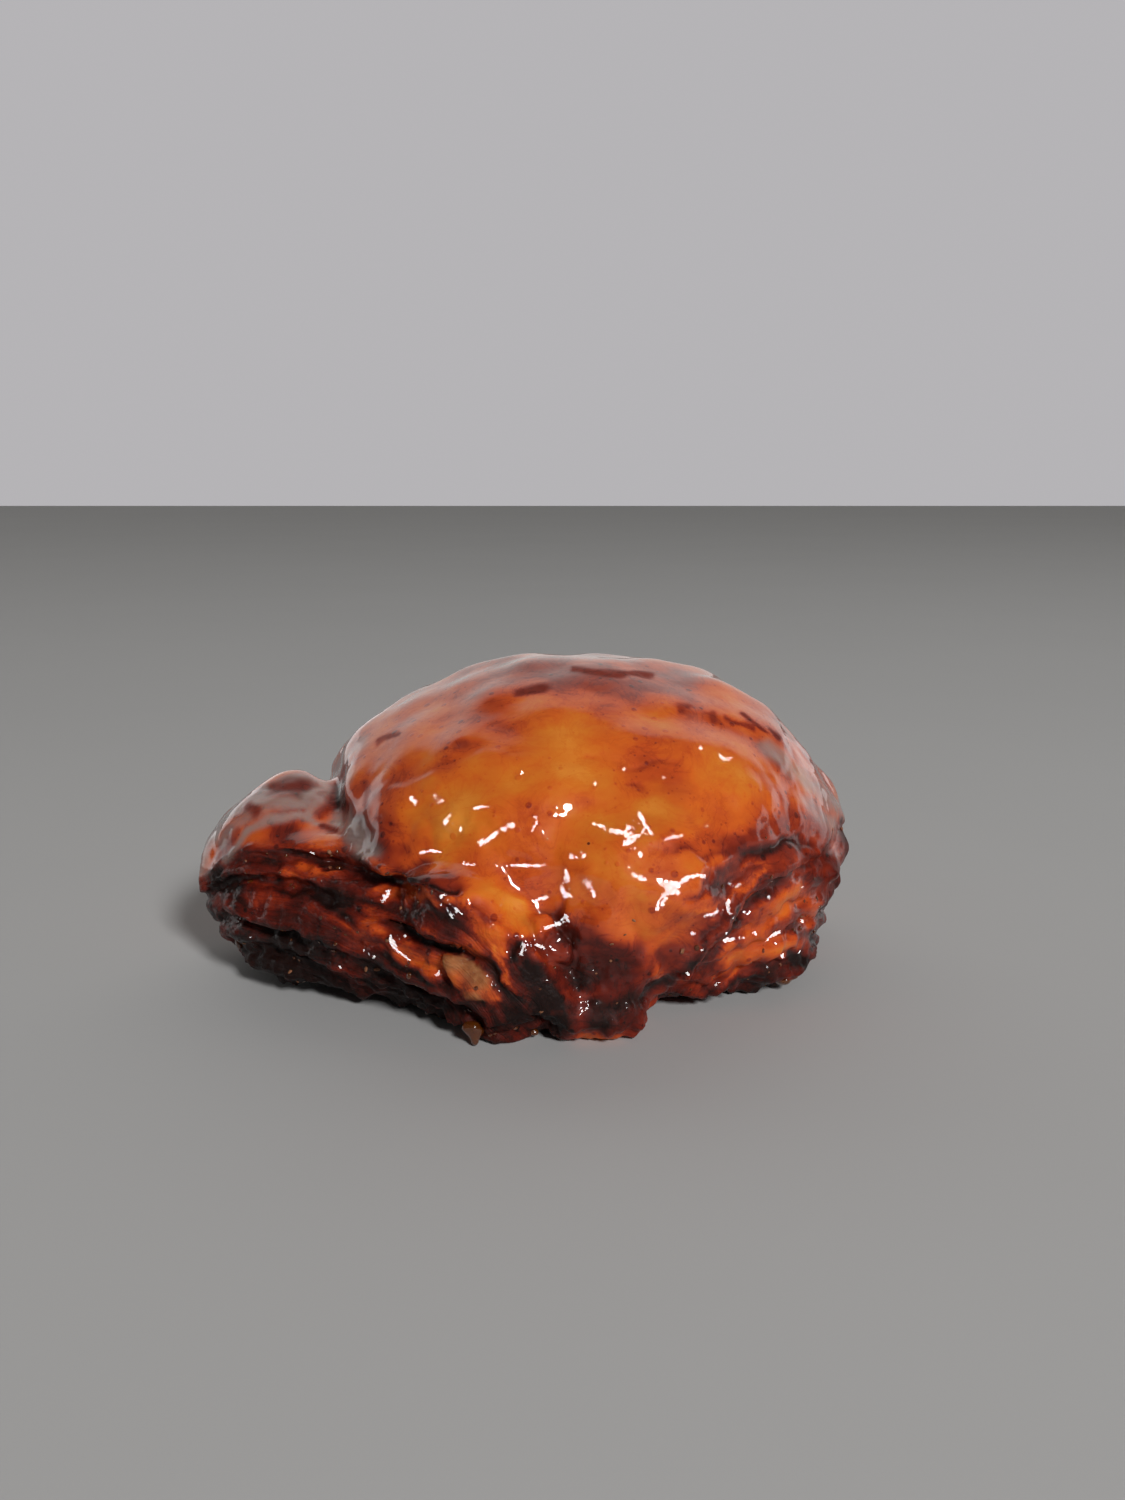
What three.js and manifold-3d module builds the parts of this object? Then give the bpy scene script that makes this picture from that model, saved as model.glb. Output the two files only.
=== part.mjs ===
// Kouign amann: buttery laminated dough, sugared, folded into a square, puffed into a tall dome
// and caramelised. One solid. Millimetres, +Z up, resting on z = 0, the front towards -Y.
import * as THREE from 'three';
import ManifoldModule from 'manifold-3d';

// Dome
const domeRadiusX = 47;
const domeRadiusY = 45.5;
const domeRise = 36;
const domeSink = 27;
const domeWaist = 16;
const domeCentre = [2.2, 5, domeWaist];

// Folded corners that swell out round the dome
const leftLobe = { centre: [-44.4, -5, 16.5], radius: [15.8, 17, 16.2] };
const rightLobe = { centre: [35.6, 12, 22.5], radius: [12.7, 15, 13], under: 9 };
const backLobe = { centre: [8, 44, 15], radius: [20, 12, 17] };
const frontPleat = { centre: [-13, -31, 17], radius: [12, 13, 11] };
const frontFlap = { from: [10, -28, 20], to: [4.5, -32.5, 5], radiusFrom: 15.8, radiusTo: 10.5 };
const leftRoll = { from: [-43.5, -10.5, 12.6], to: [-9, -33.5, 9.3], radiusFrom: 13.7, radiusTo: 11.5 };
const rightRoll = { from: [29, -15, 8], to: [34, 3, 7.5], radiusFrom: 13.2, radiusTo: 12.8 };
const leftFoot = { centre: [-43.5, -17.5, 4.5], radius: [6.5, 6.5, 5] };
const frontFoot = { centre: [7.5, -35.5, 3.5], radius: [7, 7, 5.5] };

// Cut sides where the layers show: a bearing and the reach either side of it in degrees, the
// height of the crust's lower edge, how far the layers slant off level per degree, and the layers
// down from that edge as [share, thickness]
const layeredSides = [
  { bearing: 220, before: 50, after: 52, square: 5.2, height: 25, set: 1.2, lip: 1.5, slant: 0.005,
    layers: [[0.02, 1.0], [0.19, 1.3], [0.36, 0.7], [0.52, 1.7], [0.72, 1.1], [0.92, 1.0]] },
  { bearing: 340, before: 55, after: 38, square: 6, height: 23, set: 2.2, lip: 1.6, slant: 0,
    layers: [[0, 0.9], [0.22, 1.6], [0.43, 0.9], [0.63, 0.8], [0.85, 1.0]] },
  { bearing: 52, before: 32, after: 34, square: 4.5, height: 21, set: 2.6, lip: 1.4, slant: 0.002,
    layers: [[0, 0.8], [0.22, 1.3], [0.42, 1.2], [0.70, 1.3]] },
  { bearing: 128, before: 40, after: 40, square: 4.5, height: 23, set: 2.6, lip: 1.4, slant: -0.003,
    layers: [[0, 0.9], [0.20, 1.5], [0.45, 1.2], [0.66, 1.4]] },
];
const layersAbout = [1.5, 5];
const sideRadius = 42;

// Sealed knot of dough where the front folds meet
const knot = [
  { centre: [-4.4, -40.9, 12.6], radius: [3.1, 3.0, 3.0] },
  { centre: [-3.0, -41.2, 17.0], radius: [2.8, 2.8, 3.8] },
  { centre: [-0.4, -41.2, 14.0], radius: [2.3, 2.6, 2.9] },
];

const undersideRound = 3.5;
// Facets: across, and down the sides where the layers are; above the layers they grow
const facet = 2.7;
const layerFacet = 1.4;
const domeFacet = 3.2;
const layersUpTo = 27;
const crustColour = 0x9c4a1c;

const clamp = (v, low, high) => Math.min(Math.max(v, low), high);

function step01(v) {
  const t = clamp(v, 0, 1);
  return t * t * (3 - 2 * t);
}

// Gentle unevenness of baked dough: crossing swells about `size` long, within about +-1
function swell([x, y, z], size, count, seed) {
  let sum = 0;
  for (let i = 0; i < count; i++) {
    const up = 1 - (2 * (i + 0.5)) / count;
    const turn = i * 2.39996 + seed;
    const flat = Math.sqrt(1 - up * up);
    const rate = ((2 * Math.PI) / size) * (0.7 + 0.6 * ((i * 0.618 + seed * 0.37) % 1));
    const along = x * flat * Math.cos(turn) + y * flat * Math.sin(turn) + z * up;
    sum += Math.sin(along * rate + i * i * 1.7 + seed * 3.1);
  }
  return sum / Math.sqrt(count / 2);
}

function egg(p, { centre, radius, under = radius[2] }) {
  const d = p.map((v, i) => v - centre[i]);
  const r = [radius[0], radius[1], d[2] > 0 ? radius[2] : under];
  const near = Math.hypot(...d.map((v, i) => v / r[i]));
  const slope = Math.hypot(...d.map((v, i) => v / (r[i] * r[i])));
  return (near * (near - 1)) / Math.max(slope, 1e-6);
}

function roll(p, { from, to, radiusFrom, radiusTo }) {
  const line = to.map((v, i) => v - from[i]);
  const d = p.map((v, i) => v - from[i]);
  const length2 = line.reduce((s, v) => s + v * v, 0);
  const t = clamp(d.reduce((s, v, i) => s + v * line[i], 0) / length2, 0, 1);
  return Math.hypot(...d.map((v, i) => v - t * line[i])) - (radiusFrom + (radiusTo - radiusFrom) * t);
}

function dent(p, centre, radius) {
  return Math.exp(-p.reduce((s, v, i) => s + ((v - centre[i]) / radius[i]) ** 2, 0));
}

// Joins two bulges softly, with a crease of `depth` pressed in where they meet
function join(a, b, soft, depth = 0, width = 3.5, above = 1) {
  const h = clamp(0.5 + (0.5 * (b - a)) / soft, 0, 1);
  const crease = depth * above * Math.exp(-(a * a + b * b) / (width * width));
  return b * (1 - h) + a * h - soft * h * (1 - h) + crease;
}

function bulges(p) {
  const w = [
    p[0] + 0.45 * swell(p, 40, 6, 1),
    p[1] + 0.45 * swell(p, 37, 6, 2),
    p[2] + 0.315 * swell(p, 34, 6, 3),
  ];
  const from = (height) => step01((p[2] - height) / 8);
  let d = egg(w, { centre: domeCentre, radius: [domeRadiusX, domeRadiusY, domeRise], under: domeSink });
  d += 1.6 * dent(p, [-24, 0, 47], [15, 20, 12]);
  d -= 1.3 * dent(p, [-38, 5, 36], [9, 15, 8]);
  d -= 0.8 * dent(p, [44, 10, 32], [8, 12, 8]);
  d = join(d, roll(w, frontFlap), 4, 1, 3);
  d = join(d, egg(w, frontPleat), 4, 1.2, 3);
  d = join(d, roll(w, leftRoll), 2.5, 1.6, 2.5, from(17));
  d = join(d, roll(w, rightRoll), 4);
  d = join(d, egg(w, leftFoot), 3);
  d = join(d, egg(w, frontFoot), 3, 0.5, 1.5);
  d = join(d, egg(w, leftLobe), 2.5, 5, 3, from(22));
  d = join(d, egg(w, rightLobe), 3, 1.8, 3.5, from(26));
  d = join(d, egg(w, backLobe), 3, 3, 3.5, from(20));
  return d;
}

// A layer's rounded lip above a sunken line, `g` mm below the lip
function lip(g) {
  const round = Math.exp(-((g / (g < 0 ? 2.2 : 1.5)) ** 2));
  return round - 0.45 * Math.exp(-(((g - 2.6) / 1.3) ** 2));
}

function layers(p, d) {
  const turn = Math.atan2(p[1] - layersAbout[1], p[0] - layersAbout[0]);
  const bearing = (THREE.MathUtils.radToDeg(turn) + 360) % 360;
  const z = p[2] + 0.35 * clamp(d, -6, 2) + 0.5 * swell(p, 30, 6, 5) + 0.2 * swell(p, 13, 7, 6);
  let sunk = 0;
  layeredSides.forEach((side, i) => {
    const off = ((bearing - side.bearing + 540) % 360) - 180;
    const reach = off < 0 ? side.before : side.after;
    const q = Math.min(Math.abs(off) / reach, 1);
    const edge = side.height * (1 - q ** side.square);
    const steep = ((side.height * side.square * q ** (side.square - 1)) / reach) * (57.3 / sideRadius);
    const across = 1 / Math.sqrt(1 + steep * steep);
    const down = edge - z;
    const level = down / Math.max(edge, 0.5);
    const share = level - side.slant * off * step01(level / 0.3);
    let s = side.lip * step01((down * across) / 3.6) + side.set * step01(1 - q) * step01(level);
    side.layers.forEach(([at, thick], j) => {
      const vary = 1 + 0.35 * Math.sin((bearing * Math.PI / 180) * (5 + 2 * j) + i * 2 + j * 1.7);
      s -= thick * vary * Math.min(1.5 * across, 1) * lip((share - at) * Math.max(edge, 7) * across);
    });
    sunk += s * step01((edge - 1) / 12);
  });
  return sunk;
}

// Distance to the crust, negative inside
function crust(p) {
  let d = bulges(p);
  d += layers(p, d);
  d += 1.6 * dent(p, [-1, -44, 26], [1.6, 6, 8]);
  d += 1.6 * dent(p, [-7.5, -44, 21], [1.6, 6, 6]);
  const w = p.map((v, i) => v + 0.22 * swell(p, 5, 5, 11 + i));
  for (const lump of knot) d = join(d, egg(w, lump), 1, 0.5, 1.2);
  d += 1.3 * dent(p, [9, -44, 9], [10, 8, 1.6]);
  d += (0.9 + 0.6 * swell(p, 21, 6, 14)) * step01(1 - p[2] / undersideRound);
  return d + 0.2 * swell(p, 11, 9, 7);
}

// Closed skin of a distance: cells the skin crosses get one point for each sheet that passes
// through them, and the four cells round each crossed edge are joined by a face
function skin(distance, lines) {
  const n = lines.map((line) => line.length);
  const at = (i, j, k) => (i * n[1] + j) * n[2] + k;
  const value = new Float64Array(n[0] * n[1] * n[2]);
  for (let i = 0; i < n[0]; i++)
    for (let j = 0; j < n[1]; j++)
      for (let k = 0; k < n[2]; k++)
        value[at(i, j, k)] = distance([lines[0][i], lines[1][j], lines[2][k]]);

  // The cell's edges, each named by its axis and the corner it starts from
  const ways = [[1, 0, 0], [0, 1, 0], [0, 0, 1]];
  const edges = [];
  for (let a = 0; a < 3; a++)
    for (const u of [0, 1])
      for (const v of [0, 1]) {
        const start = [0, 0, 0];
        start[(a + 1) % 3] = u;
        start[(a + 2) % 3] = v;
        edges.push({ a, start });
      }
  const edgeAt = (a, u, v) => 4 * a + 2 * u + v;
  const sides = [];
  for (let a = 0; a < 3; a++)
    for (const w of [0, 1]) {
      const b = (a + 1) % 3;
      const c = (a + 2) % 3;
      const corner = (u, v) => {
        const p = [0, 0, 0];
        p[a] = w;
        p[b] = u;
        p[c] = v;
        return p;
      };
      sides.push({
        corners: [corner(0, 0), corner(1, 0), corner(1, 1), corner(0, 1)],
        edges: [edgeAt(b, 0, w), edgeAt(c, w, 1), edgeAt(b, 1, w), edgeAt(c, w, 0)],
      });
    }

  const points = [];
  const pointOf = new Map();
  for (let i = 0; i < n[0] - 1; i++)
    for (let j = 0; j < n[1] - 1; j++)
      for (let k = 0; k < n[2] - 1; k++) {
        const v = (c) => value[at(i + c[0], j + c[1], k + c[2])];
        const crossing = edges.map(({ a, start }) => {
          const end = start.map((s, b) => s + ways[a][b]);
          return v(start) < 0 !== v(end) < 0 ? v(start) / (v(start) - v(end)) : null;
        });
        if (crossing.every((t) => t === null)) continue;
        const sheet = edges.map((_, e) => e);
        const rename = (from, to) => sheet.forEach((s, e) => {
          if (s === from) sheet[e] = to;
        });
        for (const side of sides) {
          const cut = side.edges.filter((e) => crossing[e] !== null);
          if (cut.length === 2) rename(sheet[cut[0]], sheet[cut[1]]);
          if (cut.length === 4)
            side.corners.forEach((c, m) => {
              if (v(c) < 0) rename(sheet[side.edges[(m + 3) % 4]], sheet[side.edges[m]]);
            });
        }
        for (const name of new Set(sheet)) {
          const own = edges.map((_, e) => e).filter((e) => sheet[e] === name && crossing[e] !== null);
          if (!own.length) continue;
          own.forEach((e) => pointOf.set(at(i, j, k) * 12 + e, points.length / 3));
          for (let b = 0; b < 3; b++) {
            const sum = own.reduce((s, e) => s + edges[e].start[b] + ways[edges[e].a][b] * crossing[e], 0);
            const m = [i, j, k][b];
            points.push(lines[b][m] + (lines[b][m + 1] - lines[b][m]) * (sum / own.length));
          }
        }
      }

  const faces = [];
  for (let i = 1; i < n[0] - 1; i++)
    for (let j = 1; j < n[1] - 1; j++)
      for (let k = 1; k < n[2] - 1; k++)
        ways.forEach((way, a) => {
          const inside = value[at(i, j, k)] < 0;
          if (inside === value[at(i + way[0], j + way[1], k + way[2])] < 0) return;
          const u = ways[(a + 1) % 3];
          const v = ways[(a + 2) % 3];
          const around = [[1, 1], [0, 1], [0, 0], [1, 0]].map(([du, dv]) => {
            const cell = [i, j, k].map((c, b) => c - du * u[b] - dv * v[b]);
            return pointOf.get(at(...cell) * 12 + edgeAt(a, du, dv));
          });
          if (!inside) around.reverse();
          const [p, q, r, s] = around;
          faces.push(p, q, r, p, r, s);
        });
  return { points, faces };
}

const { Manifold, Mesh } = await (async () => {
  const wasm = await ManifoldModule();
  wasm.setup();
  return wasm;
})();

function solidOf({ points, faces }) {
  return new Manifold(new Mesh({
    numProp: 3,
    vertProperties: new Float32Array(points),
    triVerts: new Uint32Array(faces),
  }));
}

function boxBelow(size) {
  const box = new THREE.BoxGeometry(size, size, size).translate(0, 0, -size / 2);
  const points = [];
  const faces = [];
  const seen = new Map();
  const position = box.getAttribute('position');
  for (const i of box.getIndex().array) {
    const p = [position.getX(i), position.getY(i), position.getZ(i)];
    const key = p.join();
    if (!seen.has(key)) {
      seen.set(key, seen.size);
      points.push(...p);
    }
    faces.push(seen.get(key));
  }
  return solidOf({ points, faces });
}

// The pastry sits flat, so everything below the table is cut away
function linesAcross(low, high) {
  const count = Math.ceil((high - low) / facet);
  return Array.from({ length: count + 1 }, (_, i) => low + i * facet);
}

function linesUp(low, high) {
  const lines = [];
  for (let z = low; z < high; z += z < 0 || z > layersUpTo ? domeFacet : layerFacet) lines.push(z);
  return lines;
}

const whole = solidOf(skin(crust, [linesAcross(-70, 60), linesAcross(-57, 66), linesUp(-16, 62)]));
const sitting = whole.subtract(boxBelow(400));
const mesh = sitting.getMesh();

const geometry = new THREE.BufferGeometry();
geometry.setAttribute('position', new THREE.BufferAttribute(Float32Array.from(mesh.vertProperties), 3));
geometry.setIndex(Array.from(mesh.triVerts));
geometry.computeBoundingBox();
const middle = geometry.boundingBox.getCenter(new THREE.Vector3());
geometry.translate(-middle.x, -middle.y, -geometry.boundingBox.min.z);
geometry.computeVertexNormals();

const material = new THREE.MeshStandardMaterial({ color: crustColour, roughness: 0.3, metalness: 0 });
material.name = 'caramelised_crust';
const pastry = new THREE.Mesh(geometry, material);
pastry.name = 'kouign_amann';

const group = new THREE.Group();
group.name = 'kouign_amann_pastry';
group.add(pastry);
export default group;
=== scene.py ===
import bpy
import bmesh
import math
import numpy as np
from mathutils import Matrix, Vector


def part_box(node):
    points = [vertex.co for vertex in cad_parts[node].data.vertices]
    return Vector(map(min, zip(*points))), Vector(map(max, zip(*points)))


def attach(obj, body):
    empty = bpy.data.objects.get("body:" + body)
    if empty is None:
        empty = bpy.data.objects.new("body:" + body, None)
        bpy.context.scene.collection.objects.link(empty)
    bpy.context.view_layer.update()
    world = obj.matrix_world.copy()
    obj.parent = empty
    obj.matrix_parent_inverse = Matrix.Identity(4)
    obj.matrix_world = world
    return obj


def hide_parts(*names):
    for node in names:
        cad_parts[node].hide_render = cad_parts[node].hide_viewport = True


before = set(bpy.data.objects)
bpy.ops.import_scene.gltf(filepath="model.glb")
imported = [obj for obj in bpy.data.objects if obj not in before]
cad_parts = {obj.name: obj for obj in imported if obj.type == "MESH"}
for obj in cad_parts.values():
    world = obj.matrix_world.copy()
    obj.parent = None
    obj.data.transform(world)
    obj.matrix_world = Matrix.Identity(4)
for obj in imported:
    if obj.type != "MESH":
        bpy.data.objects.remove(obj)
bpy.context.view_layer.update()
print("frame loaded")

# The pastry is shaped in mm in its own dough frame: x to the right, y to the back, z up.
dough = {
    "middle": (-4.9206, 5.7460, 0.0),   # the footprint's middle, seen from the dough frame
    "turn": (1.5, 5.0),                 # the four sides are measured round this point
    "low": (-60.6, -46.0, 0.0), "high": (51.0, 57.0, 52.2),
    "room": 4.0,                        # mm measured round these two corners
    "grid": 0.6,                        # mm between the points the crust is measured at
}


# Each side has an upper edge at "height" that drops to the plate at its corners, and layers
# below it. A layer is (share of the way down, height in mm). A gap is its width in mm and its
# way along the side, as (bearing, share of the way down, depth in mm).
# Its bake table says how dark the dough is on the way down, from 0, golden, to 1, black; on the back sides its
# darkest stops sit at the gaps, as painted shade there.
frontLeft = {
    "facing": 220, "before": 50, "after": 52, "corner": 5.2, "height": 25,
    "layers": ((0.02, 1.0), (0.19, 1.3), (0.36, 0.7), (0.52, 1.7), (0.72, 1.1), (0.92, 1.0)),
    "gaps": (
        (0.45, ((172, 0.10, 0.4), (205, 0.14, 0.4), (232, 0.15, 0.6), (250, 0.16, 0.4), (262, 0.2, 0.0))),
        (0.62, ((172, 0.24, 0.5), (205, 0.25, 0.5), (220, 0.33, 0.9), (236, 0.39, 1.2), (250, 0.43, 1.3),
                (256, 0.52, 1.4), (260, 0.70, 1.1))),
        (0.50, ((225, 0.27, 0.0), (234, 0.29, 1.0), (248, 0.32, 1.0), (256, 0.38, 1.0), (262, 0.52, 0.6))),
        (0.70, ((172, 0.52, 0.8), (205, 0.54, 0.9), (219, 0.57, 1.4), (232, 0.66, 2.0), (245, 0.72, 1.8),
                (256, 0.80, 1.2))),
        (0.60, ((172, 0.78, 0.7), (215, 0.76, 1.0), (235, 0.83, 1.2), (250, 0.90, 1.0))),
    ),
    "bakeAndShade": ((0, 0.58), (0.1, 0.64), (0.25, 0.69), (0.5, 0.75), (0.75, 0.84), (1, 0.94)),
    "recess": 1.2, "lip": 1.0, "slant": 0.005, "dip": (189, 11.5, 8),
}
frontRight = {
    "facing": 340, "before": 55, "after": 38, "corner": 6.0, "height": 23,
    "layers": ((0.0, 0.9), (0.22, 1.2), (0.43, 0.6), (0.63, 0.5), (0.85, 0.8)),
    "gaps": (
        (0.5, ((285, 0.05, 0.4), (300, 0.10, 0.4), (330, 0.09, 0.5), (18, 0.10, 1.0))),
        (0.4, ((292, 0.2, 0.3), (305, 0.22, 0.5), (326, 0.20, 0.4), (18, 0.22, 0.8))),
        (0.5, ((288, 0.36, 0.5), (310, 0.34, 0.3), (335, 0.36, 0.7), (18, 0.36, 1.4))),
        (0.45, ((292, 0.55, 0.4), (312, 0.52, 0.2), (340, 0.56, 0.7), (18, 0.56, 1.2))),
        (0.5, ((292, 0.78, 0.5), (315, 0.76, 0.5), (340, 0.78, 0.7), (18, 0.78, 1.1))),
    ),
    "bakeAndShade": ((0, 0.60), (0.1, 0.66), (0.3, 0.60), (0.6, 0.56), (0.8, 0.62), (1, 0.78)),
    "recess": 2.2, "lip": 1.3, "slant": 0,
}
backRight = {
    "facing": 52, "before": 32, "after": 34, "corner": 4.5, "height": 21,
    "layers": ((0.0, 0.8), (0.22, 1.3), (0.42, 1.2), (0.70, 1.3)),
    "gaps": (
        (0.5, ((18, 0.10, 1.2), (52, 0.13, 1.0), (88, 0.12, 1.2))),
        (0.7, ((18, 0.36, 1.6), (50, 0.32, 2.2), (88, 0.35, 1.8))),
        (0.7, ((18, 0.56, 1.6), (54, 0.60, 2.0), (88, 0.57, 1.6))),
        (0.6, ((18, 0.80, 1.2), (50, 0.84, 1.2), (88, 0.82, 1.2))),
    ),
    # the darkest stops lie at the gaps: painted shade there
    "bakeAndShade": ((0, 0.58), (0.12, 0.86), (0.22, 0.5), (0.33, 0.97), (0.44, 0.54), (0.57, 0.97), (0.7, 0.62),
             (0.85, 0.95), (1, 0.95)),
    "recess": 2.6, "lip": 1.4, "slant": 0.002,
}
backLeft = {
    "facing": 128, "before": 40, "after": 40, "corner": 4.5, "height": 23,
    "layers": ((0.0, 0.9), (0.20, 1.5), (0.45, 1.2), (0.66, 1.4)),
    "gaps": (
        (0.5, ((88, 0.12, 1.2), (128, 0.09, 1.0), (170, 0.10, 1.0))),
        (0.7, ((88, 0.35, 1.8), (125, 0.31, 2.4), (170, 0.25, 1.5))),
        (0.7, ((88, 0.57, 1.6), (130, 0.58, 2.0), (170, 0.53, 1.8))),
        (0.6, ((88, 0.82, 1.2), (130, 0.80, 1.2), (170, 0.78, 1.2))),
    ),
    # the darkest stops lie at the gaps: painted shade there
    "bakeAndShade": ((0, 0.60), (0.10, 0.88), (0.20, 0.52), (0.33, 0.97), (0.44, 0.50), (0.56, 0.97), (0.68, 0.6),
             (0.83, 0.95), (1, 0.95)),
    "recess": 2.6, "lip": 1.4, "slant": -0.003,
}
sides = (frontLeft, frontRight, backRight, backLeft)


def ease(amount):
    amount = np.clip(amount, 0, 1)
    return amount * amount * (3 - 2 * amount)


def waves(points, size, count, seed):
    # smooth unevenness: a few sine waves that run in directions spread evenly over a ball
    total = 0
    for step in range(count):
        up = 1 - 2 * (step + 0.5) / count
        angle = step * 2.39996 + seed
        flat = math.sqrt(1 - up * up)
        often = 2 * math.pi / size * (0.7 + 0.6 * ((step * 0.618 + seed * 0.37) % 1))
        run = points @ np.array((flat * math.cos(angle), flat * math.sin(angle), up), points.dtype)
        total = total + np.sin(run * often + (step * step * 1.7 + seed * 3.1))
    return total / math.sqrt(count / 2)


def ellipsoid(points, centre, radii, under=None):
    away = points - np.array(centre, points.dtype)
    radii = np.broadcast_to(np.array(radii, points.dtype), away.shape)
    if under:
        radii = np.concatenate((radii[..., :2], np.where(away[..., 2:] > 0, radii[..., 2:], under)), -1)
    shares = away / radii
    near = np.sqrt((shares * shares).sum(-1))
    shares = shares / radii
    return near * (near - 1) / np.maximum(np.sqrt((shares * shares).sum(-1)), 1e-6)


def roll(points, start, end, startRadius, endRadius):
    start = np.array(start, points.dtype)
    along = np.array(end, points.dtype) - start
    share = np.clip(((points - start) @ along) / (along @ along), 0, 1)
    away = points - (start + share[..., None] * along)
    return np.sqrt((away * away).sum(-1)) - (startRadius + (endRadius - startRadius) * share)


def spot(points, centre, radii):
    away = (points - np.array(centre, points.dtype)) / np.array(radii, points.dtype)
    return np.exp(-(away * away).sum(-1))


def join(body, lump, soft, crease=0, width=3.5, above=None, height=None):
    share = np.clip(0.5 + 0.5 * (lump - body) / soft, 0, 1)
    pinch = crease * np.exp(-(body * body + lump * lump) / (width * width))
    if above is not None:
        pinch = pinch * ease((height - above) / 8)
    return lump * (1 - share) + body * share - soft * share * (1 - share) + pinch


# What the pastry is put together from, in mm. "hollows" are (middle, size, depth), where a depth
# below 0 is a swelling. "lumps" are (form, its measures, how it joins), where the last says how
# soft the joint is, how deep and how wide its crease, and the height above which there is one.
pastry = {
    "dome": ((2.2, 5, 16), (47, 45.5, 36), 27),
    "hollows": (
        ((-24, 0, 47), (15, 20, 12), 1.6), ((-38, 5, 36), (9, 15, 8), -0.7),
        ((44, 10, 32), (8, 12, 8), -0.8), ((-47, -14, 28), (9, 6, 6), -1.1),
        ((-54, -12, 25), (7, 7, 7), -1.2), ((-57, -15, 18), (6, 7, 9), -2.2),
        ((-55, -9, 26), (5, 8, 5), -1.5)),
    "lumps": (
        # the flap that hangs from the dome at the front, and the swelling left of it
        (roll, ((10, -28, 20), (4.5, -32.5, 5), 15.8, 10.5), (4, 1.0, 3)),
        (ellipsoid, ((-13, -31, 17), (12, 13, 11)), (4, 1.2, 3)),
        # rolled sides and the two small feet
        (roll, ((-43.5, -10.5, 12.6), (-9, -33.5, 9.3), 13.7, 11.5), (2.5, 1.6, 2.5, 17)),
        (roll, ((29, -15, 8), (34, 3, 7.5), 13.2, 12.8), (4,)),
        (ellipsoid, ((-43.5, -17.5, 4.5), (6.5, 6.5, 5)), (3,)),
        (ellipsoid, ((7.5, -35.5, 3.5), (7, 7, 5.5)), (3, 0.5, 1.5)),
        # the swollen lobes at the left, the right and the back
        (ellipsoid, ((-44.4, -5, 16.5), (15.8, 17, 16.2)), (2.5, 1.8, 3.0, 22)),
        (ellipsoid, ((35.6, 12, 22.5), (12.7, 15, 13), 9), (3, 1.8, 3.5, 26)),
        (ellipsoid, ((8, 44, 15), (20, 12, 17)), (3, 3.0, 3.5, 20)),
        # the dark rolled edge under the right lobe, and glaze that has pooled beside the left lobe
        (roll, ((42.5, -14, 18.5), (45.8, -2, 19.5), 3.6, 4.2), (2, 0.8, 1.5)),
        (ellipsoid, ((-38, -15.5, 22.6), (8, 5.5, 3.2)), (2.5,)),
    ),
    "nose": (((51, -1, 19), (3, 8, 3), 0.7),),      # cut off the rolled edge
    "pinches": (((-1, -44, 25), (1.4, 6, 7), 0.7), ((-7.5, -44, 20), (1.6, 6, 6), 1.2)),      # above the knot
    "knot": (((-4.6, -40.4, 12.8), (2.9, 2.9, 2.6)), ((-3.2, -40.4, 16.6), (2.9, 2.5, 3.4)),
             ((-0.6, -40.4, 14.2), (2.2, 2.6, 3.1))),
    "beside": (((9, -44, 9), (10, 8, 1.8), 0.5), ((15.5, -38, 3), (4, 6, 5), 1.8)),         # right of the knot
}


def hollowed(body, points, hollows):
    for middle, size, depth in hollows:
        body = body + depth * spot(points, middle, size)
    return body


def masses(points):
    swell = np.stack((waves(points, 40, 6, 1), waves(points, 37, 6, 2), 0.7 * waves(points, 34, 6, 3)), -1)
    moved = points + 0.45 * swell
    body = hollowed(ellipsoid(moved, *pastry["dome"]), points, pastry["hollows"])
    for form, measures, joint in pastry["lumps"]:
        body = join(body, form(moved, *measures), *joint, height=points[..., 2])
    return hollowed(body, points, pastry["nose"])


def bearing(points):
    turnX, turnY = dough["turn"]
    return np.degrees(np.arctan2(points[..., 1] - turnY, points[..., 0] - turnX)) % 360


def downSide(side, angle, height):
    # where a point lies on a side: how far below the upper edge, and how near a corner
    off = (angle - side["facing"] + 180) % 360 - 180
    near = np.minimum(np.abs(off) / np.where(off < 0, side["before"], side["after"]), 1)
    reach = np.where(off < 0, side["before"], side["after"])
    top = side["height"] * (1 - near ** side["corner"])
    if "dip" in side:                   # where the dome's skin reaches further down
        where, wide, drop = side["dip"]
        top = np.maximum(top - drop * np.exp(-((angle - where) / wide) ** 4), 0)
    steep = side["height"] * side["corner"] * near ** (side["corner"] - 1) / reach * 57.3 / 42
    across = 1 / np.sqrt(1 + steep * steep)
    below = top - height
    plain = below / np.maximum(top, 0.5)
    share = plain - side["slant"] * off * ease(plain / 0.3)
    return {"off": off, "corner": near, "across": across, "below": below, "plain": plain, "share": share,
            "tall": np.maximum(top, 7) * across, "live": ease((top - 1) / 12)}


def alongGap(way, angle):
    # the share and depth of a gap at each bearing; the bearings may run past 360
    stops = np.array(way, float)
    stops[:, 0] = np.where(stops[:, 0] < stops[0, 0], stops[:, 0] + 360, stops[:, 0])
    turned = np.where(angle < stops[0, 0] - 60, angle + 360, angle)
    return np.interp(turned, stops[:, 0], stops[:, 1]), np.interp(turned, stops[:, 0], stops[:, 2])


def layerCrest(distance):
    below = np.exp(-(np.minimum(distance, 0) / 2.2) ** 2)
    above = np.exp(-(np.maximum(distance, 0) / 1.5) ** 2)
    return np.where(distance < 0, below, above) - 0.45 * np.exp(-((distance - 2.6) / 1.3) ** 2)


def calm(points):
    # the rolled edge under the right lobe is smooth
    return 1 - 0.9 * spot(points, (46, -4, 20.5), (8, 15, 6))


def unevenFrom(height, points):
    return height + 0.5 * waves(points, 30, 6, 5) + 0.2 * waves(points, 13, 7, 6)


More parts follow.
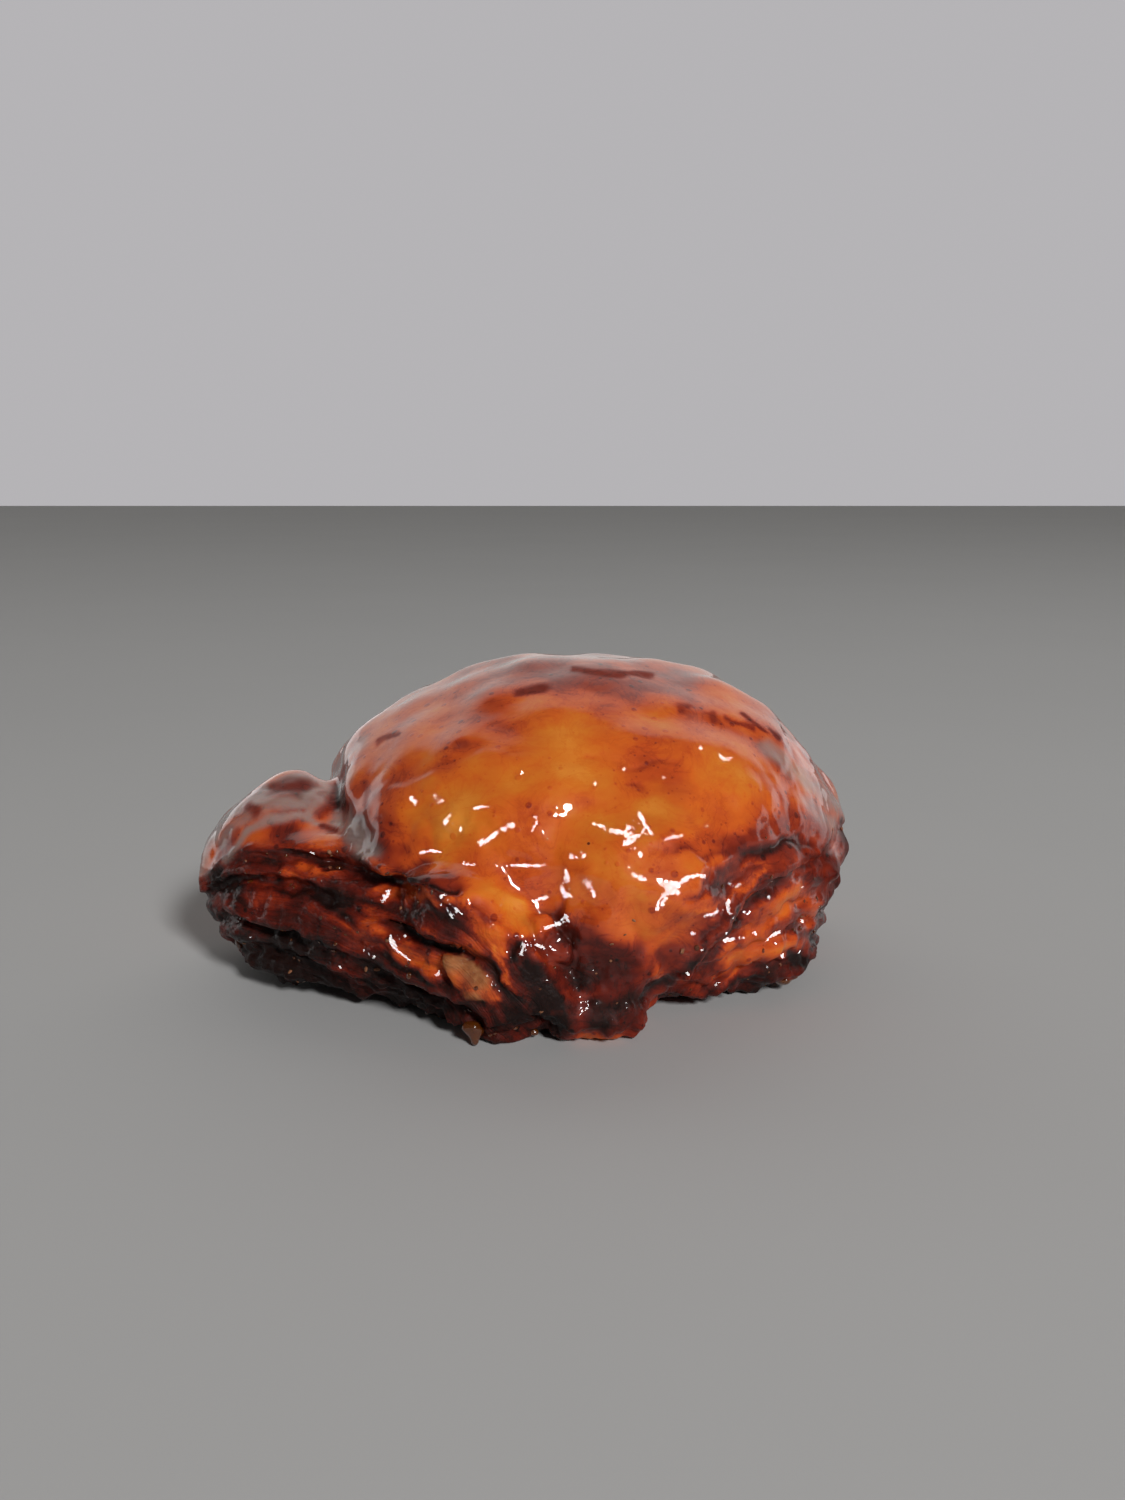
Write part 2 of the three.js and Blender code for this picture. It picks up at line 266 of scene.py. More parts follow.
def wanderOf(points):
    return 0.45 * waves(points, 15, 5, 31) + 0.2 * waves(points, 6, 5, 32)


def layering(points, body):
    angle = bearing(points)
    height = unevenFrom(points[..., 2] + 0.35 * np.clip(body, -6, 2), points)
    wander = wanderOf(points)
    fade = waves(points, 22, 5, 33)
    total = 0
    for order, side in enumerate(sides):
        place = downSide(side, angle, height)
        below, across, tall = place["below"], place["across"], place["tall"]
        relief = side["lip"] * ease(below * across / 3.6)
        inward = ease(below / np.maximum(height + below, 0.5))
        relief = relief + side["recess"] * ease(1 - place["corner"]) * inward
        for count, (share, thick) in enumerate(side["layers"]):
            vary = 1 + 0.35 * np.sin(np.radians(angle) * (5 + 2 * count) + order * 2 + count * 1.7)
            crest = layerCrest((place["share"] - share) * tall)
            relief = relief - thick * vary * np.minimum(1.5 * across, 1) * crest
        for count, (wide, way) in enumerate(side["gaps"]):
            share, deep = alongGap(way, angle)
            there = ease(0.85 + 0.5 * (fade if count % 2 else -fade)) * ease(across * 2.5)
            off = (place["plain"] - share) * tall + wander
            relief = relief + deep * there * np.exp(-(off / wide) ** 2)
        total = total + relief * place["live"]
    return total * calm(points)


def pastryField(points):
    height = points[..., 2]
    body = masses(points)
    body = body + layering(points, body)
    # the pinches over the knot, and the knot of folded ends
    body = hollowed(body, points, pastry["pinches"])
    uneven = np.stack([waves(points, 4.2, 6, seed) for seed in (11, 12, 13)], -1)
    moved = points + 0.42 * uneven
    for centre, radii in pastry["knot"]:
        body = join(body, ellipsoid(moved, centre, radii), 1.0, 0.6, 1.0)
    body = hollowed(body, points, pastry["beside"])
    body = body + (0.9 + 0.6 * waves(points, 21, 6, 14)) * ease(1 - height / 3.5)
    return body + 0.2 * waves(points, 11, 9, 7)


def measure(field, lowest, highest, grid, reach=4.5, block=4):
    # the field on a fine grid, worked out only in the blocks near its surface
    lowest = np.array(lowest, np.float32)
    counts = np.ceil((np.array(highest) - lowest) / (grid * block)).astype(int)
    middles = np.stack(np.meshgrid(*[(np.arange(n) + 0.5) * grid * block for n in counts], indexing="ij"), -1)
    rough = field((lowest + middles).astype(np.float32))
    fine = np.repeat(np.repeat(np.repeat(rough, block, 0), block, 1), block, 2).astype(np.float32)
    blocks = fine.reshape(counts[0], block, counts[1], block, counts[2], block).transpose(0, 2, 4, 1, 3, 5)
    inside = np.stack(np.meshgrid(*[np.arange(block)] * 3, indexing="ij"), -1) * grid
    near = np.argwhere(np.abs(rough) < reach)
    for some in np.array_split(near, max(1, len(near) // 600)):
        points = lowest + some[:, None, None, None, :] * (block * grid) + inside
        blocks[some[:, 0], some[:, 1], some[:, 2]] = field(points.astype(np.float32))
    return fine


def wrap(values, lowest, grid):
    # a skin of quads over the surface where the values change sign, one point in each cell
    shape = values.shape
    solid = values < 0
    cellShape = tuple(n - 1 for n in shape)
    corners = [(a, b, c) for a in (0, 1) for b in (0, 1) for c in (0, 1)]
    filled = np.zeros(cellShape, np.int8)
    for a, b, c in corners:
        filled += solid[a:shape[0] - 1 + a, b:shape[1] - 1 + b, c:shape[2] - 1 + c]
    crossed = (filled > 0) & (filled < 8)
    cells = np.argwhere(crossed)
    number = np.full(cellShape, -1, np.int64)
    number[crossed] = np.arange(len(cells))
    total = np.zeros((len(cells), 3))
    count = np.zeros(len(cells))
    for corner in corners:
        for axis in range(3):
            if corner[axis]:
                continue
            other = list(corner)
            other[axis] = 1
            here = values[tuple((cells + corner).T)]
            there = values[tuple((cells + other).T)]
            cut = (here < 0) != (there < 0)
            point = np.tile(np.array(corner, float), (len(cells), 1))
            point[:, axis] += np.where(cut, here / np.where(cut, here - there, 1), 0)
            total[cut] += point[cut]
            count[cut] += 1
    points = (cells + total / count[:, None]) * grid + np.array(lowest)
    quads = []
    for axis in range(3):
        second, third = (axis + 1) % 3, (axis + 2) % 3
        before = [slice(1, -1)] * 3
        before[axis] = slice(0, -1)
        after = list(before)
        after[axis] = slice(1, None)
        inner, outer = solid[tuple(before)], solid[tuple(after)]
        change = inner != outer
        edges = np.argwhere(change)
        edges[:, second] += 1
        edges[:, third] += 1
        ring = []
        for back in ((1, 1), (0, 1), (0, 0), (1, 0)):
            at = edges.copy()
            at[:, second] -= back[0]
            at[:, third] -= back[1]
            ring.append(number[tuple(at.T)])
        quad = np.stack(ring, 1)
        flip = ~inner[change]
        quad[flip] = quad[flip][:, ::-1]
        quads.append(quad)
    return points, np.concatenate(quads)


def outward(points, quads):
    # the skin's own direction at each point
    across = np.cross(points[quads[:, 2]] - points[quads[:, 0]], points[quads[:, 3]] - points[quads[:, 1]])
    total = np.zeros_like(points)
    for column in range(4):
        np.add.at(total, quads[:, column], across)
    return total / np.maximum(np.linalg.norm(total, axis=1, keepdims=True), 1e-12)


def inFrame(points):
    return (points - np.array(dough["middle"])) * 0.001


def makeObject(name, points, faces, material, smooth=True):
    mesh = bpy.data.meshes.new(name)
    mesh.from_pydata(np.asarray(points).tolist(), [], np.asarray(faces).tolist())
    mesh.update()
    piece = bpy.data.objects.new(name, mesh)
    bpy.context.scene.collection.objects.link(piece)
    mesh.materials.append(material)
    if smooth:
        mesh.shade_smooth()
    return piece


def giveAttribute(mesh, name, values):
    plain = values.ndim == 1
    layer = mesh.attributes.new(name, "FLOAT" if plain else "FLOAT_VECTOR", "POINT")
    layer.data.foreach_set("value" if plain else "vector", np.asarray(values, np.float32).ravel())


# Colours are linear red, green and blue; lengths are mm unless a note says otherwise.
crust = {
    "bakeColours": (                     # from light to dark bake
        (0.00, (0.78, 0.26, 0.030)), (0.16, (0.72, 0.185, 0.016)), (0.32, (0.69, 0.128, 0.012)),
        (0.48, (0.55, 0.073, 0.010)), (0.62, (0.27, 0.025, 0.007)), (0.78, (0.105, 0.0095, 0.005)),
        (0.92, (0.036, 0.0062, 0.0040)), (1.00, (0.012, 0.0036, 0.0026))),
    "paleDough": ((0.22, 0.065, 0.022), (0.48, 0.215, 0.085)),
    # painted reflection: the colour of the bright wall's pale haze on the lobes
    "paintedHaze": (0.34, 0.235, 0.205),
    # the colour of the painted shade in creases
    "creaseShade": (0.020, 0.0045, 0.0025),
    "domeBake": 0.36, "pleatBake": 0.28, "tornBake": 0.56, "burntBake": 0.68,
    "softBake": 0.60,                    # what has no layers isn't baked much more than this
    "leafPitch": 1.9, "leafHeight": 0.20,
    "rippleHeight": 0.20, "blisterHeight": 0.15,    # unevenness of the glaze
    "strokeDepth": 1.4, "splitDepth": 0.9, "splitWidth": 0.75, "tornRise": 0.55, "tornGap": 0.7,
    "split": ((-27, -28.0, 21.4), (-24.7, -29.7, 21.3), (-19.8, -40.3, 24.0), (-15.3, -42.4, 24.3)),
    "torn": ((-17.3, 2.2), (-14.8, 1.7), (-12.9, 0.9), (-11.3, -0.5), (-10.0, -2.4), (-9.1, -4.4),
             (-10.4, -5.0), (-12.2, -4.7), (-14.0, -4.5), (-15.6, -2.8), (-17.0, -1.4), (-17.5, 0.6)),
    "raw": ((((-16.6, 1.1), (-14.4, 0.8), (-12.6, -0.4), (-11.6, -1.8)), 1.3),
            (((-13.6, -4.4), (-12.4, -4.2)), 0.8)),
    "fitGap": 0.00004, "fitSoft": 0.0012,           # metres, how the skin is kept in the solid's box
    "sugarFaces": ((750.0, 0.22), (1900.0, 0.34)),  # cells in a metre and their lean
    "shader": {"Coat Roughness": 0.012, "Specular IOR Level": 0.12, "Coat IOR": 1.5,
               "Subsurface Weight": 0.22, "Subsurface Radius": (1.0, 0.32, 0.10), "Subsurface Scale": 0.004},
}

# Places that are baked more or less than what is round them: middle, size and change.
stains = (
    ((3, -31, 37), (25, 14, 9), -0.17), ((-8, -26, 41), (14, 10, 6), -0.08),
    ((22, -27, 37), (9, 8, 6), -0.08), ((-31, -21, 29), (6, 8, 10), 0.27), ((-38, -6, 30), (8, 9, 8), 0.14),
    ((-19, -36, 26), (9, 6, 3), 0.08), ((-4, -39, 28), (22, 6, 4), -0.07), ((3, -4, 52), (38, 20, 6), 0.27),
    ((34, -20, 30), (6, 9, 8), 0.18), ((30, -24, 26), (9, 6, 3), 0.12), ((12, -43, 21), (8, 6, 6), -0.06),
    ((-9, -42, 20.5), (4.5, 4, 4), -0.30), ((-2.5, -42, 14.5), (4, 4, 4.5), 0.36),
    ((6, -43, 8), (14, 8, 5), 0.33), ((0, 40, 40), (36, 20, 14), 0.10), ((-47, -10, 28), (12, 12, 6), 0.12),
    ((46, -8, 15.5), (8, 11, 6), 0.30), ((44, 6, 28), (8, 12, 6), 0.10), ((-48, -22, 11), (16, 9, 9), 0.10),
    ((-3, -42, 22), (3, 4, 4), 0.08), ((12, -44, 11), (9, 6, 4), 0.10),
)
# Marks on the front, laid out as they look from there and a little above, in mm. Each has its
# half width, its strength but for the facets, and then its way as x and height in turn. The first kind,
# the pale haze, is a painted reflection of the bright wall, "bare" is burnt and has no glaze, "strokes" are
# darker or lighter than what is round them, partly from the bake, partly painted shade in the gaps and
# painted light on lit strands, and "facets" are flat faces of set sugar that catch the window.
marks = {
    # painted reflection: where the bright wall's pale haze lies on the lobes
    "paintedHaze": (
        (1.38, 0.9, -59.6, 14.3, -60, 17.6, -58, 20.2, -56.4, 22.6, -53.6, 24.2),
        (0.77, 0.9, -54.3, 15.6, -52.2, 18.5, -50.2, 20.7, -47.4, 22.4, -42.7, 22.7, -39.7, 21.4),
        (1.2, 0.9, -51.2, 25.6, -49.1, 25, -46, 24.7, -42.3, 25.1, -41.4, 26.9),
        (1.0, 0.75, -55.4, 18.4, -53.4, 20.9, -51, 22.9, -47.6, 24),
        (0.69, 0.8, -49.8, 27.9, -46.8, 29.1, -43.9, 29.4, -39.7, 28),
        (1.2, 0.9, -40.4, 28.1, -40.1, 26.1, -41, 23.4), (1.7, 1, -36.3, 21.8, -32.9, 19.9, -30.1, 17.1),
        (1.03, 0.6, -40.3, 30.2, -37.4, 32.7, -33.4, 35.2), (0.52, 0.4, -34.6, 31.1, -34.2, 26.8),
        (1.38, 0.8, 51, 24, 49, 24.6, 45.3, 25.4, 40.9, 28.1, 37.1, 30.8, 33.2, 33.6),
        (1.2, 0.5, 45.6, 21.4, 41.6, 23.1, 39.2, 25.3),
        (0.52, 0.5, 46.1, 16.3, 44, 17.2, 40.8, 16.5, 40.1, 15.3),
    ),
    "bare": (
        (2.4, 1, 39.5, 15.6, 42.6, 15.6, 44.5, 10.5), (2.9, 1, 49.5, 20, 49.5, 15.5, 48, 11.5),
        (0.66, 1, 1.6, 46.8, 3.7, 46.3, 6.1, 45.9, 9.4, 45.9, 14.9, 46.3),
        (0.95, 1, -6.8, 42.4, -5.2, 42.6, -3.1, 43), (0.55, 0.8, -30.3, 34.9, -28.9, 35.7, -26.9, 36.4),
        (0.52, 0.7, 18.7, 39.7, 20.4, 40.2), (0.52, 0.7, 23.9, 39, 24.2, 37.6),
        (0.62, 0.9, 26.4, 38.4, 28.8, 37.7, 30.8, 37), (0.45, 1, 29.5, 39.8, 32.6, 36.8),
        (0.45, 1, 33.8, 37.4, 35.4, 35.6), (1.12, 0.9, -48.1, 27.7, -45.9, 28.1, -42.5, 27.9),
        (0.86, 0.9, -51.2, 24.4, -49.9, 23.4), (0.69, 0.6, -52.5, 20.1, -54.3, 17.5, -55.6, 15.6),
        (0.76, 1, -38.9, 20.9, -36.5, 20.6), (0.95, 0.7, -39.5, 23.4, -38.3, 24.9, -38.2, 27),
        (0.69, 0.5, -31.4, 27.5, -30.6, 24.2, -30.2, 20.2),
    ),
    # partly bake, partly painted shade in the gaps under the layers and painted light on lit strands
    "strokes": (
        (1.6, 0.32, -38, 27, -34, 22.7, -30.2, 18.3, -25.6, 15.3, -19.1, 13, -15.3, 11.8),
        (0.77, 0.16, 11.2, 2.9, 14.8, 6.1, 18.2, 9.6, 22.3, 13.2, 26.9, 15.9, 32.6, 17.7, 39, 18.7),
        (0.6, 0.14, 13.5, 0.8, 17.4, 3.2, 21.1, 7.2, 25.7, 10.4, 31.1, 12.8),
        (0.6, -0.08, 12.3, 4.3, 15.7, 7.2, 19.4, 11, 23.5, 14.4),
        (0.52, -0.1, 15.4, 1.7, 19.3, 5.1, 23, 8.8, 28.2, 11.7),
        (0.6, 0.14, 22.2, -4.6, 27.1, -3.5, 32.9, 0.3, 39.3, 4.4),
        (1.55, 0.08, -49.9, 16.9, -47.8, 19.1, -44.5, 19.7, -41.7, 17.5), (1.2, 0.1, -49.6, 14.9, -43, 14.6),
        (1.55, 0.1, -59.1, 12.3, -53.5, 11.6), (1.2, 0.08, -42.3, 20.4, -37.9, 17.8, -34.2, 15.3),
        (1.03, 0.2, -48.8, 27.5, -45.4, 27.9, -42.4, 27.5), (0.69, 0.2, -54.3, 19.5, -55.8, 17.5),
        (1.2, -0.14, -41.5, 19.9, -37.6, 18.5, -33.1, 15.9),
        (0.45, 0.18, -43.6, 18, -39.8, 16.1, -35.5, 14.3),
        (0.95, -0.14, -41.3, 14.6, -34.4, 12.2, -29.1, 10.7), (1.2, -0.12, -37, 13.6, -30, 14.2, -25, 13.4),
        (0.7, 0.14, -45.5, 11.8, -40.8, 10, -34.1, 9.1, -27.5, 8.6, -20, 8.3, -15.1, 6.4, -11.5, 3, -8.9,
         -1, -7.4, -4.5), (0.34, 0.25, -26.1, 12.8, -22, 12.4),
        (0.31, 0.25, -19, 12.1, -17.5, 12.3, -14.9, 11.4), (0.86, -0.26, -28.2, 11.3, -24.6, 10.4, -16.7, 10),
        (0.86, -0.12, -34.1, 9.3, -30.5, 7.8, -24.6, 6), (0.55, -0.2, -22.7, 5.9, -17.6, 5),
        (0.52, 0.12, -33.9, 7.1, -30.2, 5.5, -26.4, 2.7),
        (0.52, 0.15, -24.3, 5.7, -20.7, 4.4, -17.3, 3.9, -16, 2.5),
        (1.38, -0.24, -28.6, 5.4, -26.1, 2.9, -22.6, 1.5, -17.6, 0.3),
        (0.55, 0.25, -26.7, 1.8, -23.5, -0.3, -20.4, -1.6, -11.9, -5.4),
        (0.52, -0.15, -19.7, -2.3, -16.1, -4.2, -11.6, -5), (1.55, 0.15, -32.5, 0, -24.6, -3.6, -16.7, -6.9),
        (0.86, -0.12, -47.5, 10.1, -42.7, 8.1), (0.69, -0.12, -50, 10.8, -48.4, 8.5),
        (1.2, 0.12, -57.7, 13.6, -54.4, 11.7, -52.1, 14.3), (1.03, -0.08, -58, 8.1, -55.4, 3.6),
        (2.06, 0.12, -44, 0.1, -35.8, 1), (1.2, 0.04, -49.8, 17.5, -43.3, 17.8),
        (0.77, 0.24, -12, 9.3, -10.3, 8.3, -8.8, 7), (0.69, -0.12, -14.6, 10.4, -9, 10.2, -6.2, 9),
        (1.2, -0.22, -7.5, 9.3, -5.8, 7.2, -4.9, 5.3), (0.86, -0.15, -10.3, 5.6, -7.8, 3),
        (0.6, -0.34, -10.1, 3, -8.1, -0.4, -7.2, -3), (1.2, -0.14, -8.2, 2.5, -5.8, -3.5, -4.3, -7.5),
        (0.86, -0.25, -4.1, 1.7, -2.9, 1), (0.77, 0.1, -5.5, -0.7, -2.5, -1.6, -0.1, -0.9),
        (0.52, 0.25, -6.1, 4.2, -6.5, 1), (0.9, 0.08, -0.4, 4.1, 5.4, 3.5, 9.5, 2.3),
        (0.69, 0.2, -0.4, 9.8, -0.1, 5.4), (1.55, 0.14, 1.8, 0.3, 11.3, -0.1),
        (0.86, -0.14, 11.3, -0.1, 13.5, -0.8), (0.69, -0.16, -0.1, -4, 5.1, -4.5),
        (1.03, 0.12, 5.4, -5.5, 12.6, -3.9, 16.1, -1.3), (1.03, -0.16, 4.3, -9.8, 7.6, -10.5),
        (0.52, -0.16, -2.1, -6.3, -0.1, -6), (1.38, 0.02, -9, -6.3, -2.6, -8.5),
        (1.55, 0.12, 13.1, -1.3, 18.6, 2.5, 23, 5.1, 27.6, 8.3, 32.1, 11.9),
        (0.86, 0.22, 12.9, -3.6, 17.2, -1.2, 20.3, 0.7), (0.43, 0.16, 20.1, 3.6, 22.4, 6, 25.6, 7.5),
        (0.6, -0.18, 17.5, -2.6, 20.3, 0.2, 27.6, 2.4), (2.0, -0.26, 28.3, 4.6, 32.5, 7.2, 35.8, 10.3),
        (1, -0.22, 24.4, 0.6, 29.3, 1.1, 36.2, 2.4), (0.86, 0.16, 37.1, 5.1, 41.1, 2.8),
        (1.03, 0.38, 36.5, 1, 39.5, -1.3), (0.77, 0.2, 31.8, -1.4, 36.2, -0.6),
        (0.86, 0.14, 27.9, -3.4, 36.2, -1.9), (0.6, 0.15, 17, 17, 23.2, 16.7, 29.9, 17.1, 35.8, 18.5),
        (1.03, 0.14, 13.3, 17.3, 20.1, 18.2, 27.4, 18.9), (1.03, -0.12, 20.2, 14.7, 25.2, 15.7),
        (1.03, 0.06, 28.2, 16.8, 37.1, 16.8), (0.52, -0.45, 38.3, 16.8, 41.9, 16.2, 40.5, 14.1),
        (0.52, 0.16, 18.2, 9.8, 23.1, 11.9, 29.9, 14.7), (0.38, -0.16, 19.8, 7.6, 25.7, 10.4, 30.7, 13.8),
        (1.03, -0.06, 11.1, 9.9, 12.6, 4), (1.03, 0.06, -21.1, 14.8, -12, 14.4, -3.3, 14.4),
        (1.72, -0.08, -9.4, 30.6, -0.4, 28.2, 5.6, 25.9), (1.38, -0.1, 12.9, 23.6, 17.2, 21.1),
        (0.43, 0.14, 9.3, 26.7, 11.5, 25.9), (0.52, 0.1, 4.1, 30.9, 11.7, 29.3, 17.8, 30.3),
        (1.7, 0.2, 3, -2.6, 4.6, -8), (1.5, 0.16, 0.4, -3.5, 0.8, -9), (1.6, 0.3, 42.6, 15.6, 44, 10.5),
        (1.5, 0.12, -54.6, 17.2, -56.4, 13.9), (1.2, 0.1, -52.4, 24.6, -50.4, 26.4, -46.8, 28.4),
        (2.2, 0.1, 6, -6, 16, -4.4), (1.38, 0.12, -25.3, 28.7, -18.7, 29.6, -14.1, 32.3),
    ),
    "facets": (
        (0.52, -22.9, 24.8, -22.2, 24.2), (0.38, -19.2, 25.3), (0.38, -18.7, 24.1, -18.1, 24.4),
        (0.31, -13.2, 23.2, -12.2, 23.3, -11.1, 23.3), (0.41, -17.3, 21, -16.7, 21.9), (0.55, -15.1, 20.1),
        (0.48, -11.9, 18, -10.6, 18.8, -9.4, 19.8), (0.55, -8.5, 20.1, -7.4, 20.6),
        (0.29, -4, 21.8, -3.6, 20.9, -4.4, 19.9), (0.31, -21.1, 16.6, -19.6, 17, -18, 16.7),
        (0.26, -14.4, 15.1, -12.9, 14.8), (0.22, -9.8, 14.8, -9.4, 14.7),
        (0.28, -7.5, 14.8, -5.2, 14.8, -2.7, 14.8), (0.38, -6, 28.5), (0.31, 4.8, 26.8), (0.33, 9.2, 29.2),
        (0.31, 15.2, 27.8), (0.34, 4.5, 20.9, 5.6, 20.5), (0.52, 7.2, 19.7, 9, 19.6, 9.6, 20.5),
        (0.69, 9.4, 18.7, 10.9, 19.1), (0.38, 8.8, 17.8, 9.8, 18.1), (0.38, 11.3, 22.3, 12, 20.6, 12.8, 19.3),
        (0.29, 14.9, 18.4, 16.1, 18.9, 17.3, 19), (0.34, 1.2, 16.1, 1.5, 15.8), (0.52, 3, 16.3),
        (0.48, 11.1, 16.3), (0.52, 0.5, 13.8, 0.7, 12.8), (0.79, -0.1, 11.2, 0.7, 10.4),
        (0.76, 3.5, 12.3, 3.7, 11.7), (0.38, 4.5, 10.5), (0.45, 10.3, 13.4, 11.6, 12.8),
        (0.96, 14.7, 12.1, 16.3, 12.1), (1.03, 15, 10.9, 16, 11.3), (0.72, 14.2, 9.6, 15, 10.3),
        (0.38, 13.5, 8.7), (0.38, 17.4, 12.8, 19, 13.3, 20.6, 13.2), (0.38, -3.9, 9.6, -2.4, 10.2),
        (0.55, 0.4, 7.3, 0.8, 6.7), (0.38, -2.5, 5.8, -0.4, 6.4), (0.58, -5.5, 3.5, -5.8, 2.3),
        (0.31, -3.9, 3.4, -2.7, 3), (0.38, 21.2, 32.8), (0.34, 24.1, 32.1, 24.6, 31.3, 25.6, 31, 26.2, 31.5),
        (0.28, 21.4, 20.6), (0.38, 24.4, 9.5, 24.5, 8.1), (0.45, 21.6, 7.6, 22.5, 8.1), (0.28, 20.6, 7.3),
        (0.31, 24.9, 12.1), (0.24, 25.7, 11.5, 26.7, 12), (0.38, 24.6, 3.3, 25.7, 3.8), (0.26, 23.9, 4.9),
        (0.31, 25.7, 6.9), (0.38, 19, 4.8), (0.29, 20.5, 2.5), (0.38, 31.4, 9.9), (0.41, 29.2, 4.4),
        (0.4, 31.8, 3.2, 33.6, 4.4), (0.45, 34.6, 0.6), (0.58, 37.9, 1), (0.38, 37.7, 11.2),
        (0.38, 38.6, 5.8), (0.29, 32, -1.2), (0.26, 27.3, 3.9), (0.26, 18.3, -1), (0.29, 21.2, -3.1),
        (0.34, -17.3, 10.4, -16.7, 10.6), (0.33, -22.2, 9), (0.31, -19.6, 9.3), (0.26, -17.3, 9.2),
        (0.38, -15.5, 8.7, -14.3, 7.9), (0.28, -16.1, 7.8, -15.7, 7.4), (0.28, -23.4, 4.3),
        (0.4, -25.4, 4.1, -24.3, 2.2), (0.26, -23.9, 1.8, -22.3, 0.8), (0.48, -18.4, -0.9),
        (0.34, -16.4, -1.4), (0.31, -30.1, 1.9), (0.41, -28.2, 1), (0.58, -27, 9.7, -26.3, 10.6),
        (0.28, -28.6, 13.6), (0.31, -25.7, 13.1), (0.34, -49.9, 3.3), (0.26, -39.8, 16.9, -38.9, 16.4),
    ),
}


def asWay(numbers):
    # x and z in turn, with the last point twice so that a single point is a way too
    way = np.array(numbers, float).reshape(-1, 2)
    return np.concatenate((way, way[-1:]))


def awayFromWay(points, way):
    best = np.full(points.shape, 1e6)
    for start, end in zip(way[:-1], way[1:]):
        start, end = np.array(start, float), np.array(end, float)
        along = end - start
        share = np.clip(((points - start) @ along) / max(along @ along, 1e-9), 0, 1)
        away = points - start - share[:, None] * along
        best = np.where((np.linalg.norm(away, axis=1) < np.linalg.norm(best, axis=1))[:, None], away, best)
    return best


def nearestOnWay(points, way):
    return np.linalg.norm(awayFromWay(points, way), axis=1)


def frontPlace(points):
    return np.stack((points[:, 0], 0.96 * points[:, 2] + 0.28 * points[:, 1]), 1)


def frontMarks(points, normals):
    # how much painted haze, a painted reflection, each point has, how bare it is, how much darker or
    # lighter it is (bake, painted shade and painted light), its way from the nearest facet and that one's half
    # width; only points that face the front have marks
    paintedHaze, bare, change = np.zeros((3, len(points)))
    facet = np.full((len(points), 3), (9.0, 9.0, 0.0))
    facing = 0.28 * normals[:, 2] - 0.96 * normals[:, 1]
    here = np.flatnonzero(facing > 0.02)
    flat = frontPlace(points[here])
    uneven = flat + 0.4 * np.stack([waves(points[here], 4.5, 6, seed) for seed in (56, 57)], 1)
    for kind, total, power in (("paintedHaze", paintedHaze, 3), ("bare", bare, 4)):
        for half, amount, *way in marks[kind]:
            away = nearestOnWay((flat + uneven) / 2, asWay(way)) / half
            total[here] = np.maximum(total[here], amount * np.exp(-0.7 * away ** power))
    for half, amount, *way in marks["strokes"]:
        change[here] += amount * np.exp(-0.7 * (nearestOnWay(uneven, asWay(way)) / half) ** 3)
    nearest = np.full(len(here), 9.0)
    for half, *way in marks["facets"]:
        away = awayFromWay(flat, asWay(way))
        distance = np.linalg.norm(away, axis=1) - half
        closer = distance < nearest
        nearest[closer] = distance[closer]
        facet[here[closer]] = np.column_stack((away[closer], np.full(closer.sum(), half)))
    fade = ease((facing - 0.02) / 0.22)
    return fade * paintedHaze * (1 - bare), fade * bare, fade * change, facet


def insidePatch(flat, corners):
    # how far inside a flat outline each point is, negative outside
    distance = np.full(len(flat), 1e9)
    inside = np.zeros(len(flat), bool)
    for (x0, z0), (x1, z1) in zip(corners, corners[1:] + corners[:1]):
        start, along = np.array((x0, z0)), np.array((x1 - x0, z1 - z0))
        share = np.clip(((flat - start) @ along) / (along @ along), 0, 1)
        distance = np.minimum(distance, np.linalg.norm(flat - start - share[:, None] * along, axis=1))
        crosses = (flat[:, 1] < z0) != (flat[:, 1] < z1)
        inside ^= crosses & (flat[:, 0] < x0 + (flat[:, 1] - z0) * (x1 - x0) / ((z1 - z0) or 1e-9))
    return np.where(inside, distance, -distance)


def alongSides(points, angle, height, wander):
    # how much each point belongs to the layered sides, its bake with painted shade in the back sides' gaps,
    # and its place along and down its side
    layered, sideBakeAndShade, grainAlong, grainAcross = np.zeros((4, len(points)))
    weight = np.full(len(points), 1e-6)
    for side in sides:
        place = downSide(side, angle, height)
        live = place["live"] * ease((place["below"] * place["across"] + 0.6) / 1.6)
        shares, bakes = zip(*side["bakeAndShade"])
        sideBakeAndShade += live * np.interp(place["share"] + wander / place["tall"], shares, bakes)
        weight += live
        better = live > layered
        layered = np.maximum(layered, live)
        grainAlong = np.where(better, np.radians(place["off"]) * 42, grainAlong)
        grainAcross = np.where(better, place["share"] * place["tall"] + wander, grainAcross)
    return layered, sideBakeAndShade / weight, grainAlong, grainAcross


def fitInside(placed):
    # kept inside the room that the solid takes by a soft limit at every side but the base
    low, high = np.array(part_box("kouign_amann"))
    gap, soft = crust["fitGap"], crust["fitSoft"]
    for axis in range(3):
        over = placed[:, axis] - (high[axis] - gap - soft)
        under = low[axis] + gap + soft - placed[:, axis]
        placed[:, axis] -= np.where(over > 0, over - soft * np.tanh(over / soft), 0)
        if axis < 2:
            placed[:, axis] += np.where(under > 0, under - soft * np.tanh(under / soft), 0)


